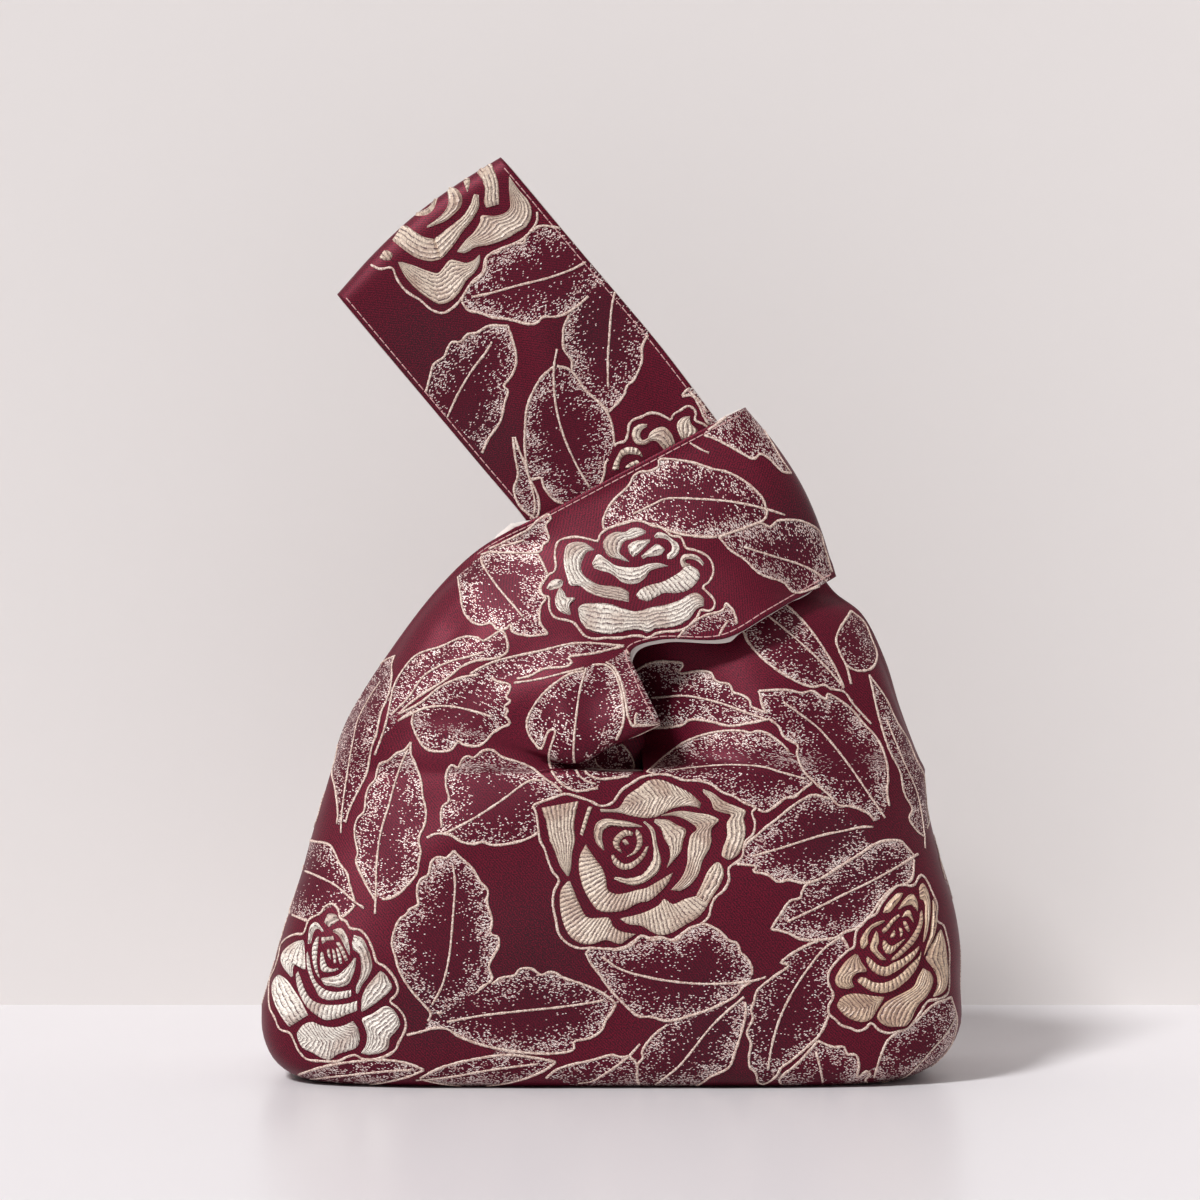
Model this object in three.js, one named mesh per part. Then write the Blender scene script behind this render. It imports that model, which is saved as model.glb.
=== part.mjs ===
// Knot bag: two brocade panels and two lining panels, sewn along the base, the sides and the handle ends.
// The long handle on the right goes through the short handle on the left and draws the mouth shut.
// Millimetres, +Z up, -Y towards the viewer, origin at the middle of the base on the table.
import * as THREE from "three";

// Body
const BASE_WIDTH = 256;
const BASE_DEPTH = 104;
const BASE_EDGE_RADIUS = 9;
const LEFT_END_RADIUS = 20;
const RIGHT_END_RADIUS = 26;
const BASE_CORNER_SQUARENESS = 4.6;
const SLIT_HEIGHT = 111;
const SLIT_OFFSET = 11.6;
const LEFT_WIDTH_AT_SLIT = 103;
const RIGHT_WIDTH_AT_SLIT = 116;
const DEPTH_AT_SLIT = 41;
const CORNER_SQUARENESS_AT_SLIT = 2.3;
const DEPTH_EASE = 1.7;

// Crossing of the two handles
const KNOT_HEIGHT = 193.4;
const KNOT_OFFSET = 28.6;

// Long handle, a folded loop that leans to the left
const LONG_WIDTH = 79;
const LONG_REACH = 155;
const LONG_LEAN = 130;
const LONG_HALF_GAP = 4;
const LONG_SWELL = 2.5;
const LONG_END_BULGE = 4;

// Short handle, the loop that holds the long one
const SHORT_WIDTH = 71;
const SHORT_REACH = 43;
const SHORT_LEAN = 28;
const SHORT_FOOT_DEPTH = 30;
const SHORT_SWELL = 2;
const SHORT_END_BULGE = 5;
const LOOP_CLEARANCE = 1.2;
const CLEARANCE_REACH = 5;

// Fold of the left shoulder that hangs over the mouth
const MOUTH_FOLD_RISE = 9;
const MOUTH_FOLD_DROP = 16;

// Share of a shoulder's width that still rounds over beside the side seam
const ROUNDING_STEP = 0.07;

// Cloth
const BROCADE_THICKNESS = 0.9;
const LINING_THICKNESS = 0.5;
const LAYER_GAP = 0.3;
const SEAM_GAP = 0.3;

// Sections of the left shoulder below those that may lie over the long handle
const SECTIONS_BELOW_LOOP = 4;

// Mesh fineness
const LEFT_COLUMNS = 10;
const RIGHT_COLUMNS = 8;
const BASE_ROWS = 2;
const EDGE_ROWS = 4;
const WALL_ROWS = 6;
const ROWS_PER_SPAN = 2;
const END_ROWS = 3;

const STACK = BROCADE_THICKNESS + LAYER_GAP + LINING_THICKNESS;
const SEAM_DEPTH = SEAM_GAP / 2;
const LONG_DEPTH = LONG_HALF_GAP + STACK;
const SHORT_DEPTH = LONG_DEPTH + STACK + LOOP_CLEARANCE;

const lerp = THREE.MathUtils.lerp;
const radians = THREE.MathUtils.degToRad;
const point = (x, depth, z) => new THREE.Vector3(x, -depth, z);

// A place on the way between two points of the front view, set to the left of that way by a share of it
function between(from, to, share, bulge = 0) {
  const way = to.clone().sub(from);
  const left = new THREE.Vector2(-way.y, way.x);
  return from.clone().addScaledVector(way, share).addScaledVector(left, bulge);
}

// A place on a handle, measured along its middle line from the crossing and across it
function onHandle(lean, along, across) {
  const direction = new THREE.Vector2(Math.cos(radians(lean)), Math.sin(radians(lean)));
  const side = new THREE.Vector2(-direction.y, direction.x);
  const knot = new THREE.Vector2(KNOT_OFFSET, KNOT_HEIGHT);
  return knot.addScaledVector(direction, along).addScaledVector(side, across);
}
const onShort = (along, across) => onHandle(SHORT_LEAN, along, across * SHORT_WIDTH);
const onLong = (along, across) => onHandle(LONG_LEAN, along, across * LONG_WIDTH);

// One section across the cloth from its outer edge to its inner edge, with its depth at even steps.
// The drops are shares of the fold over the mouth. Beside a side seam the cloth keeps some rounding.
function section(outer, inner, depths, { drops = [], rounding = 0 } = {}) {
  const steps = depths.map((depth, step) => {
    const drop = MOUTH_FOLD_DROP * (drops[step] ?? 0);
    return { share: step / (depths.length - 1), depth, drop };
  });
  if (rounding > 0) steps.splice(1, 0, { share: ROUNDING_STEP, depth: depths[1] * rounding, drop: 0 });
  const points = steps.map(({ share, depth, drop }) => {
    const place = between(outer, inner, share);
    return point(place.x, Math.max(depth, SEAM_DEPTH), place.y - drop);
  });
  return new THREE.CatmullRomCurve3(points);
}

// Half of the wall's outline at one height, from the side seam to the middle line
function wallSection(height, reach, depth, squareness, middle) {
  const steps = 24;
  const points = [];
  for (let step = 0; step <= steps; step += 1) {
    const turn = (step / steps) * (Math.PI / 2);
    const across = Math.cos(turn) ** (2 / squareness);
    const forward = Math.sin(turn) ** (2 / squareness);
    points.push(point(lerp(middle, reach, across), Math.max(depth * forward, SEAM_DEPTH), height));
  }
  return new THREE.CatmullRomCurve3(points);
}

// How far a rounded lower edge draws in at a height above the table
function drawnIn(radius, height) {
  const below = Math.max(0, radius - height);
  return radius - Math.sqrt(radius ** 2 - below ** 2);
}

// Rows of the wall from the seam across the base up to the foot of the mouth, on one side of the middle
function wallRows(sign, widthAtSlit, endRadius, columns, easing) {
  const halfWidth = BASE_WIDTH / 2;
  const halfDepth = BASE_DEPTH / 2;
  const edgeHeight = Math.max(LEFT_END_RADIUS, RIGHT_END_RADIUS);
  const rows = [];
  const addRow = (height, reach, depth, squareness, middle) => {
    rows.push(wallSection(height, sign * reach, depth, squareness, middle).getSpacedPoints(columns));
  };
  for (let row = 0; row < BASE_ROWS; row += 1) {
    const depth = lerp(SEAM_DEPTH, halfDepth - BASE_EDGE_RADIUS, row / BASE_ROWS);
    addRow(0, halfWidth - endRadius, depth, BASE_CORNER_SQUARENESS, 0);
  }
  for (let row = 0; row < EDGE_ROWS; row += 1) {
    const up = edgeHeight * (1 - Math.cos((row / EDGE_ROWS) * (Math.PI / 2)));
    const reach = halfWidth - drawnIn(endRadius, up);
    addRow(up, reach, halfDepth - drawnIn(BASE_EDGE_RADIUS, up), BASE_CORNER_SQUARENESS, 0);
  }
  for (let row = 0; row <= WALL_ROWS; row += 1) {
    const share = row / WALL_ROWS;
    addRow(
      lerp(edgeHeight, SLIT_HEIGHT, share),
      lerp(halfWidth, widthAtSlit, easing(share)),
      lerp(halfDepth, DEPTH_AT_SLIT, share ** DEPTH_EASE),
      lerp(BASE_CORNER_SQUARENESS, CORNER_SQUARENESS_AT_SLIT, share),
      SLIT_OFFSET * share,
    );
  }
  return rows;
}

// The end of a handle turns round to the seam that it shares with the other side
function handleEnd(place, width, depths, reach, startAlong, bulge) {
  const ends = [];
  for (let step = 1; step <= END_ROWS; step += 1) {
    const turn = (step / END_ROWS) * (Math.PI / 2);
    const along = lerp(startAlong, reach, Math.sin(turn));
    const points = depths.map((depth, index) => {
      const share = index / (depths.length - 1);
      const swell = bulge * Math.sin(turn) * Math.sin(Math.PI * share);
      const flat = place(along + swell, lerp(width, -width, share) / 2);
      return point(flat.x, Math.max(depth * Math.cos(turn), SEAM_DEPTH), flat.y);
    });
    ends.push(new THREE.CatmullRomCurve3(points));
  }
  return ends;
}

// Rows between the sections, along smooth curves that start where the wall ends
function strip(wall, sections, columns) {
  const stations = sections.map((curve) => curve.getSpacedPoints(columns));
  const lead = wall.slice(-2);
  const rows = wall.slice();
  const spans = stations.length + 1;
  const curves = lead[0].map((_, column) => {
    const points = [...lead, ...stations].map((row) => row[column]);
    return new THREE.CatmullRomCurve3(points);
  });
  for (let row = 1; row <= stations.length * ROWS_PER_SPAN; row += 1) {
    const share = (1 + row / ROWS_PER_SPAN) / spans;
    rows.push(curves.map((curve) => {
      const place = curve.getPoint(share);
      place.y = Math.min(place.y, -SEAM_DEPTH);
      return place;
    }));
  }
  return rows;
}

const EVEN_SHARES = [0, 0.25, 0.5, 0.75, 1];
const slit = new THREE.Vector2(SLIT_OFFSET, SLIT_HEIGHT);
const wallDepths = (...shares) => shares.map((share) => share * DEPTH_AT_SLIT);

// Left shoulder and short handle, from the mouth's foot to the handle's end
function leftSections() {
  const sideFoot = new THREE.Vector2(-LEFT_WIDTH_AT_SLIT, SLIT_HEIGHT);
  const sideTop = onShort(-0.69 * SHORT_WIDTH, 0.5);
  const neckTop = onShort(-0.23 * SHORT_WIDTH, -0.5);
  const side = (share, bulge) => between(sideFoot, sideTop, share, bulge);
  const neck = (share, bulge) => between(slit, neckTop, share, bulge);
  const low = wallDepths(0, 0.55, 0.71, 0.82, 0.9, 0.93, 0.9, 0.64, 0.5);
  const lowDrops = [0, 0, 0.05, 0.13, 0.23, 0.33, 0.4, 0.34, 0.25];
  const underFold = wallDepths(0, 0.53, 0.68, 0.8, 0.87, 0.89, 0.81, 0.5, 0.45);
  const underDrops = [0, 0, 0.08, 0.22, 0.42, 0.68, 0.76, 0.36, 0];
  const rises = [0, 0, 0, 0, 0.05, 0.2, 0.45, 0.75, 1];
  const lip = wallDepths(0, 0.51, 0.66, 0.78, 0.86, 0.9, 0.92, 0.9, 0.77);
  const raisedLip = lip.map((depth, step) => depth + MOUTH_FOLD_RISE * rises[step]);
  const lipDrops = [0, 0, 0.08, 0.25, 0.5, 0.8, 0.85, 0.42, 0];
  const overFold = wallDepths(0, 0.58, 0.77, 0.91, 0.93);
  const overDrops = [0, 0.05, 0.2, 0.25, 0];
  const band = (top, foot, swell) => EVEN_SHARES.map(
    (share) => lerp(top, foot, share) + swell * Math.sin(Math.PI * share),
  );
  const root = band(SHORT_DEPTH, SHORT_FOOT_DEPTH, SHORT_SWELL);
  const middle = band(SHORT_DEPTH, 0.92 * SHORT_FOOT_DEPTH, SHORT_SWELL);
  const end = band(SHORT_DEPTH, 1.35 * SHORT_DEPTH, 2 * SHORT_SWELL);
  const endStart = 0.72 * SHORT_REACH;
  return [
    section(side(0.07, 0.035), neck(0.13, 0.055), low, { drops: lowDrops, rounding: 0.8 }),
    section(side(0.14, 0.058), neck(0.36, 0.08), underFold, { drops: underDrops, rounding: 0.77 }),
    section(side(0.2, 0.07), neck(0.43, 0.06), raisedLip, { drops: lipDrops, rounding: 0.75 }),
    section(side(0.38, 0.088), neck(0.62, 0.24), overFold, { drops: overDrops, rounding: 0.52 }),
    section(side(0.66, 0.094), neck(0.82, 0.36), wallDepths(0, 0.42, 0.6, 0.7, 0.72), { rounding: 0.45 }),
    section(side(0.85, 0.066), neck(0.98, 0.2), wallDepths(0.04, 0.35, 0.53, 0.65, 0.7)),
    section(onShort(-0.56 * SHORT_WIDTH, 0.5), onShort(-0.06 * SHORT_WIDTH, -0.5), root),
    section(onShort(-0.2 * SHORT_WIDTH, 0.5), onShort(0.2 * SHORT_WIDTH, -0.5), middle),
    section(onShort(endStart, 0.5), onShort(endStart, -0.5), end),
    ...handleEnd((along, across) => onShort(along, across / SHORT_WIDTH), SHORT_WIDTH, end,
      SHORT_REACH, endStart, SHORT_END_BULGE),
  ];
}

// Right shoulder and long handle, from the mouth's foot to the handle's top
function rightSections() {
  const sideFoot = new THREE.Vector2(RIGHT_WIDTH_AT_SLIT, SLIT_HEIGHT);
  const sideTop = onLong(-0.45 * LONG_WIDTH, -0.4);
  const neckTop = onLong(0.58 * LONG_WIDTH, 0.5);
  const side = (share, bulge) => between(sideFoot, sideTop, share, -bulge);
  const neck = (share, bulge) => between(slit, neckTop, share, -bulge);
  const layer = (swell) => EVEN_SHARES.map((share) => LONG_DEPTH + swell * Math.sin(Math.PI * share));
  const end = layer(LONG_SWELL / 2);
  const endStart = 0.955 * LONG_REACH;
  return [
    section(side(0.1, 0.01), neck(0.09, 0.065), wallDepths(0, 0.7, 0.88, 0.84, 0.36), { rounding: 0.62 }),
    section(side(0.29, 0.036), neck(0.23, 0.08), wallDepths(0, 0.62, 0.8, 0.69, 0.26), { rounding: 0.56 }),
    section(side(0.5, 0.076), neck(0.41, 0.084), wallDepths(0, 0.51, 0.63, 0.51, 0.22), { rounding: 0.5 }),
    section(side(0.72, 0.08), neck(0.6, 0.065), wallDepths(0, 0.36, 0.43, 0.34, 0.18), { rounding: 0.45 }),
    section(side(0.86, 0.02), neck(0.74, 0.045), wallDepths(0, 0.24, 0.29, 0.25, 0.17), { rounding: 0.4 }),
    section(sideTop, neck(0.87, 0.02), wallDepths(0.04, 0.18, 0.2, 0.19, 0.15)),
    section(onLong(0.13 * LONG_WIDTH, -0.46), neckTop, layer(0.4 * LONG_SWELL)),
    section(onLong(0.39 * LONG_REACH, -0.5), onLong(0.48 * LONG_REACH, 0.5), layer(LONG_SWELL)),
    section(onLong(0.7 * LONG_REACH, -0.5), onLong(0.71 * LONG_REACH, 0.5), layer(LONG_SWELL)),
    section(onLong(endStart, -0.5), onLong(endStart, 0.5), end),
    ...handleEnd((along, across) => onLong(along, -across / LONG_WIDTH), LONG_WIDTH, end,
      LONG_REACH, endStart, LONG_END_BULGE),
  ];
}

// The depth of the long strip under a point of the front view, or zero beside it
function depthUnder(rows, x, z) {
  let depth = 0;
  const corner = new THREE.Vector3();
  for (let row = 1; row < rows.length; row += 1) {
    for (let column = 1; column < rows[row].length; column += 1) {
      const [a, b] = [rows[row - 1][column - 1], rows[row - 1][column]];
      const [c, d] = [rows[row][column - 1], rows[row][column]];
      for (const [p, q, r] of [[a, b, d], [a, d, c]]) {
        const flat = [p, q, r].map((v) => new THREE.Vector3(v.x, v.z, 0));
        if (!THREE.Triangle.getBarycoord(new THREE.Vector3(x, z, 0), ...flat, corner)) continue;
        if (Math.min(corner.x, corner.y, corner.z) < 0) continue;
        depth = Math.max(depth, -(corner.x * p.y + corner.y * q.y + corner.z * r.y));
      }
    }
  }
  return depth;
}

// The greatest depth of the long strip near a point, so that flat facets between points clear it too
function deepestUnder(rows, x, z) {
  const steps = [-CLEARANCE_REACH, 0, CLEARANCE_REACH];
  return Math.max(...steps.flatMap((dx) => steps.map((dz) => depthUnder(rows, x + dx, z + dz))));
}

// The face side of one panel: both strips joined along the middle line below the mouth
function panelFace() {
  const leftLean = (share) => share;
  const rightLean = (share) => THREE.MathUtils.smoothstep(share, 0.2, 1);
  const leftWall = wallRows(-1, LEFT_WIDTH_AT_SLIT, LEFT_END_RADIUS, LEFT_COLUMNS, leftLean);
  const rightWall = wallRows(1, RIGHT_WIDTH_AT_SLIT, RIGHT_END_RADIUS, RIGHT_COLUMNS, rightLean);
  const left = strip(leftWall, leftSections(), LEFT_COLUMNS);
  const right = strip(rightWall, rightSections(), RIGHT_COLUMNS);
  const shared = leftWall.length;
  const longRows = right.slice(shared);
  const clear = STACK + LOOP_CLEARANCE;
  for (const row of left.slice(shared + SECTIONS_BELOW_LOOP * ROWS_PER_SPAN)) {
    for (const place of row) {
      const under = deepestUnder(longRows, place.x, place.z);
      if (under > 0) place.y = Math.min(place.y, -under - clear);
    }
  }
  const places = [];
  const add = (place) => places.push(place) - 1;
  const leftIds = left.map((row) => row.map(add));
  const rightIds = right.map((row, index) => row.map((place, column) => {
    const onMiddle = index < shared && column === row.length - 1;
    return onMiddle ? leftIds[index][LEFT_COLUMNS] : add(place);
  }));
  const triangles = [];
  const addStrip = (ids, flip) => {
    for (let row = 1; row < ids.length; row += 1) {
      for (let column = 1; column < ids[row].length; column += 1) {
        const [a, b] = [ids[row - 1][column - 1], ids[row - 1][column]];
        const [c, d] = [ids[row][column - 1], ids[row][column]];
        triangles.push(...(flip ? [[a, d, b], [a, c, d]] : [[a, b, d], [a, d, c]]));
      }
    }
  };
  addStrip(leftIds, false);
  addStrip(rightIds, true);
  return { places, triangles };
}

// Outward direction at each point of the face; on a seam it stays in the seam's plane
function faceNormals({ places, triangles }) {
  const normals = places.map(() => new THREE.Vector3());
  const triangle = new THREE.Triangle();
  const direction = new THREE.Vector3();
  for (const [a, b, c] of triangles) {
    triangle.set(places[a], places[b], places[c]);
    triangle.getNormal(direction).multiplyScalar(triangle.getArea());
    for (const id of [a, b, c]) normals[id].add(direction);
  }
  return normals.map((normal, id) => {
    const openness = THREE.MathUtils.clamp((-places[id].y - SEAM_DEPTH) / (2 * STACK), 0, 1);
    normal.y *= openness;
    return normal.normalize();
  });
}

// A closed sheet of cloth between two distances behind the face
function sheet(face, normals, front, back) {
  const count = face.places.length;
  const layer = (distance) => face.places.map(
    (place, id) => place.clone().addScaledVector(normals[id], -distance),
  );
  const positions = [...layer(front), ...layer(back)].flatMap((place) => place.toArray());
  const indices = [];
  const edges = new Map();
  for (const [a, b, c] of face.triangles) {
    indices.push(a, b, c, a + count, c + count, b + count);
    for (const [from, to] of [[a, b], [b, c], [c, a]]) edges.set(`${from} ${to}`, [from, to]);
  }
  for (const [from, to] of edges.values()) {
    if (edges.has(`${to} ${from}`)) continue;
    indices.push(from, from + count, to + count, from, to + count, to);
  }
  const geometry = new THREE.BufferGeometry();
  geometry.setAttribute("position", new THREE.Float32BufferAttribute(positions, 3));
  geometry.setIndex(indices);
  return geometry;
}

// The same cloth on the other side of the middle plane
function mirrored(geometry) {
  const copy = geometry.clone();
  copy.scale(1, -1, 1);
  const index = copy.getIndex().array;
  for (let corner = 0; corner < index.length; corner += 3) {
    [index[corner], index[corner + 1]] = [index[corner + 1], index[corner]];
  }
  return copy;
}

const brocade = () => new THREE.MeshStandardMaterial({ color: 0x5c1a2b, roughness: 0.6, metalness: 0 });
const lining = () => new THREE.MeshStandardMaterial({ color: 0xe1d7d2, roughness: 0.85, metalness: 0 });

const face = panelFace();
const normals = faceNormals(face);
const panelSheet = sheet(face, normals, 0, BROCADE_THICKNESS);
const liningSheet = sheet(face, normals, BROCADE_THICKNESS + LAYER_GAP, STACK);

const bag = new THREE.Group();
function addCloth(name, geometry, material) {
  const mesh = new THREE.Mesh(geometry, material);
  mesh.name = name;
  bag.add(mesh);
}
addCloth("front_panel", panelSheet, brocade());
addCloth("back_panel", mirrored(panelSheet), brocade());
addCloth("front_lining", liningSheet, lining());
addCloth("back_lining", mirrored(liningSheet), lining());

export default bag;
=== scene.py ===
"""Knot bag in rose brocade: two sewn panels, their lining, the woven roses and leaves, and the stitching."""
import math
import random

import bmesh
import bpy
import numpy as np
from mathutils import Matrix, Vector, noise
from mathutils.bvhtree import BVHTree
from mathutils.geometry import barycentric_transform


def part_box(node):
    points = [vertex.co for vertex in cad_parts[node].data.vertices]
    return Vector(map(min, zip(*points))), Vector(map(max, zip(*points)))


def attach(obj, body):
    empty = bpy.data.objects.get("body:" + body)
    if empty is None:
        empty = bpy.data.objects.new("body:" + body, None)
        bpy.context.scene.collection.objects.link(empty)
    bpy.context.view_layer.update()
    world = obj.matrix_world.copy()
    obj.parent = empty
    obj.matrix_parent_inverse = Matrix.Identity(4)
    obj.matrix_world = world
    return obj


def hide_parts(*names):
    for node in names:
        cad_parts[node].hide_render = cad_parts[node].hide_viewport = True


bl_info = {
    "name": "Knot Bag",
    "version": (1, 0, 0),
    "blender": (4, 5, 0),
    "location": "3D View > Sidebar > Knot Bag",
    "description": "Builds a lined brocade knot bag around its packed solids",
    "category": "Object",
}

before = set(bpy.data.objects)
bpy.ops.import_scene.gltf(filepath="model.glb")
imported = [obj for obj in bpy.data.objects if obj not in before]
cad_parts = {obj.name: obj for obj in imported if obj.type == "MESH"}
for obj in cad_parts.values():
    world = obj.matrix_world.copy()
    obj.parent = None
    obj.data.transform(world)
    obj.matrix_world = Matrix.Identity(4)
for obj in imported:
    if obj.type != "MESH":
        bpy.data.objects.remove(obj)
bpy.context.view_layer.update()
PANEL_LOW, PANEL_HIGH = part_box("front_panel")

MM = 0.001

# Shape of the cloth in millimetres, as in the solids
BASE_WIDTH = (PANEL_HIGH[0] - PANEL_LOW[0]) / MM
BASE_DEPTH = -2 * PANEL_LOW[1] / MM
BASE_EDGE_RADIUS = 9.0
LEFT_END_RADIUS = 20.0
RIGHT_END_RADIUS = 26.0
BASE_CORNER_SQUARENESS = 4.6
SLIT_HEIGHT = 111.0
SLIT_OFFSET = 11.6
LEFT_WIDTH_AT_SLIT = 103.0
RIGHT_WIDTH_AT_SLIT = 116.0
DEPTH_AT_SLIT = 41.0
CORNER_SQUARENESS_AT_SLIT = 2.3
DEPTH_EASE = 1.7
RIGHT_LEAN_START = 0.2
KNOT = np.array([28.6, 193.4])
LONG_WIDTH = 79.0
LONG_REACH = 155.0
LONG_LEAN = math.radians(130.0)
LONG_HALF_GAP = 4.0
LONG_SWELL = 2.5
LONG_END_BULGE = 4.0
SHORT_WIDTH = 71.0
SHORT_REACH = 43.0
SHORT_LEAN = math.radians(28.0)
SHORT_FOOT_DEPTH = 30.0
SHORT_SWELL = 2.0
SHORT_END_BULGE = 5.0
LOOP_CLEARANCE = 1.2
MOUTH_FOLD_RISE = 9.0
MOUTH_FOLD_DROP = 16.0
ROUNDING_STEP = 0.07
BROCADE_THICKNESS = 0.9
LINING_THICKNESS = 0.5
LAYER_GAP = 0.3
SEAM_DEPTH = 0.15
EDGE_DEPTH = 1.0
STACK = BROCADE_THICKNESS + LAYER_GAP + LINING_THICKNESS
LONG_DEPTH = LONG_HALF_GAP + STACK
SHORT_DEPTH = LONG_DEPTH + STACK + LOOP_CLEARANCE

# Fineness of the cloth
LEFT_COLUMNS = 76
RIGHT_COLUMNS = 62
BASE_ROWS = 22
EDGE_ROWS = 14
WALL_ROWS = 44
ROW_SPACING = 1.7
END_ROWS = 5
CURVE_SAMPLES = 241
SECTION_SAMPLES = 33
SPAN_SAMPLES = 24
# Rows below the mouth, where both strips of a face share the middle line
SHARED_ROWS = BASE_ROWS + EDGE_ROWS + WALL_ROWS + 1
# Lengths that keep a division from running off
TINY = 1e-9
SHORTEST_STEP = 1e-3

# The photograph's camera, in millimetres and in pixels of the 1200 square frame
CAMERA_PLACE = np.array([-3.9, -1200.0, 173.6])
FRAME_PIXELS = 1200.0
FOCAL_PIXELS = 3240.0
SENSOR_MM = 36.0


def lerp(start, end, share):
    """The value that lies at a share of the way from start to end."""
    return start + (end - start) * share


def smoothstep(value, low, high):
    """Zero below low, one above high and a smooth rise between."""
    share = np.clip((value - low) / (high - low), 0.0, 1.0)
    return share * share * (3.0 - 2.0 * share)


def spline(points, params):
    """Points of a centripetal Catmull-Rom curve through the given points, at shares of its spans."""
    places = np.asarray(points, dtype=float)
    padded = np.vstack([2 * places[0] - places[1], places, 2 * places[-1] - places[-2]])
    spans = len(places) - 1
    at = np.clip(np.asarray(params, dtype=float) * spans, 0.0, spans - TINY)
    index = np.floor(at).astype(int)
    share = (at - index)[:, None]
    p0, p1, p2, p3 = (padded[index + step] for step in range(4))

    def knot_step(start, end):
        length = np.linalg.norm(end - start, axis=1, keepdims=True)
        return np.maximum(np.sqrt(length), SHORTEST_STEP)

    before, middle, after = knot_step(p0, p1), knot_step(p1, p2), knot_step(p2, p3)
    leave = ((p1 - p0) / before - (p2 - p0) / (before + middle) + (p2 - p1) / middle) * middle
    arrive = ((p2 - p1) / middle - (p3 - p1) / (middle + after) + (p3 - p2) / after) * middle
    square = -3 * p1 + 3 * p2 - 2 * leave - arrive
    cube = 2 * p1 - 2 * p2 + leave + arrive
    return p1 + share * (leave + share * (square + share * cube))


def travel(points):
    """How far along a line of points each of them lies."""
    steps = np.linalg.norm(np.diff(points, axis=0), axis=1)
    return np.concatenate([[0.0], np.cumsum(steps)])


def at_lengths(wanted, travelled, values):
    """Values along a line, such as its points or normals, at the wanted lengths from its start."""
    return np.stack([np.interp(wanted, travelled, column) for column in values.T], axis=-1)


def spaced(points, count):
    """count + 1 points evenly along the curve through the given points."""
    params = np.linspace(0.0, 1.0, CURVE_SAMPLES)
    travelled = travel(spline(points, params))
    wanted = np.linspace(0.0, travelled[-1], count + 1)
    return spline(points, np.interp(wanted, travelled, params))


def between(start, end, share, bulge=0.0):
    """A place on the way between two points of the front view, set to the left by a share of that way."""
    way = end - start
    return start + way * share + np.array([-way[1], way[0]]) * bulge


def on_handle(lean, along, across):
    """A place on a handle, measured along its middle line from the crossing and across it."""
    direction = np.array([math.cos(lean), math.sin(lean)])
    side = np.array([-direction[1], direction[0]])
    return KNOT + direction * along + side * across


def on_short(along, share):
    """A place on the short handle, across it by a share of its width."""
    return on_handle(SHORT_LEAN, along, share * SHORT_WIDTH)


def on_long(along, share):
    """A place on the long handle, across it by a share of its width."""
    return on_handle(LONG_LEAN, along, share * LONG_WIDTH)


def cloth_point(flat, depth, drop=0.0):
    """A point of the front cloth from its place in the front view and its depth before the middle plane."""
    return np.array([flat[0], -max(depth, SEAM_DEPTH), flat[1] - drop])


def section(outer, inner, depths, drops=None, rounding=0.0):
    """One section across the cloth, from its outer to its inner edge, rounded beside a side seam."""
    count = len(depths) - 1
    drops = drops or (0.0,) * (count + 1)
    steps = [(step / count, depths[step], MOUTH_FOLD_DROP * drops[step]) for step in range(count + 1)]
    if rounding > 0:
        steps.insert(1, (ROUNDING_STEP, depths[1] * rounding, 0.0))
    return np.array([cloth_point(between(outer, inner, share), depth, drop) for share, depth, drop in steps])


def wall_section(height, reach, depth, squareness, middle):
    """Half of the wall's outline at one height, from the side seam to the middle line."""
    turn = np.linspace(0.0, math.pi / 2, SECTION_SAMPLES)
    across = np.abs(np.cos(turn)) ** (2 / squareness)
    forward = np.abs(np.sin(turn)) ** (2 / squareness)
    across[-1] = 0.0
    points = np.empty((len(turn), 3))
    points[:, 0] = lerp(middle, reach, across)
    points[:, 1] = -np.maximum(depth * forward, SEAM_DEPTH)
    points[:, 2] = height
    return points


def drawn_in(radius, height):
    """How far a rounded lower edge draws in at a height above the table."""
    below = max(0.0, radius - height)
    return radius - math.sqrt(radius ** 2 - below ** 2)


def wall_rows(sign, width_at_slit, end_radius, columns, easing):
    """Rows of the wall from the seam across the base up to the foot of the mouth, on one side."""
    rows = []

    def add_row(height, reach, depth, squareness, middle):
        rows.append(spaced(wall_section(height, sign * reach, depth, squareness, middle), columns))

    half_width = BASE_WIDTH / 2
    half_depth = BASE_DEPTH / 2
    edge_height = max(LEFT_END_RADIUS, RIGHT_END_RADIUS)
    for row in range(BASE_ROWS):
        depth = lerp(SEAM_DEPTH, half_depth - BASE_EDGE_RADIUS, row / BASE_ROWS)
        add_row(0.0, half_width - end_radius, depth, BASE_CORNER_SQUARENESS, 0.0)
    for row in range(EDGE_ROWS):
        up = edge_height * (1 - math.cos(row / EDGE_ROWS * math.pi / 2))
        reach = half_width - drawn_in(end_radius, up)
        add_row(up, reach, half_depth - drawn_in(BASE_EDGE_RADIUS, up), BASE_CORNER_SQUARENESS, 0.0)
    for row in range(WALL_ROWS + 1):
        share = row / WALL_ROWS
        add_row(
            lerp(edge_height, SLIT_HEIGHT, share),
            lerp(half_width, width_at_slit, easing(share)),
            lerp(half_depth, DEPTH_AT_SLIT, share ** DEPTH_EASE),
            lerp(BASE_CORNER_SQUARENESS, CORNER_SQUARENESS_AT_SLIT, share),
            SLIT_OFFSET * share,
        )
    return rows


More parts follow.
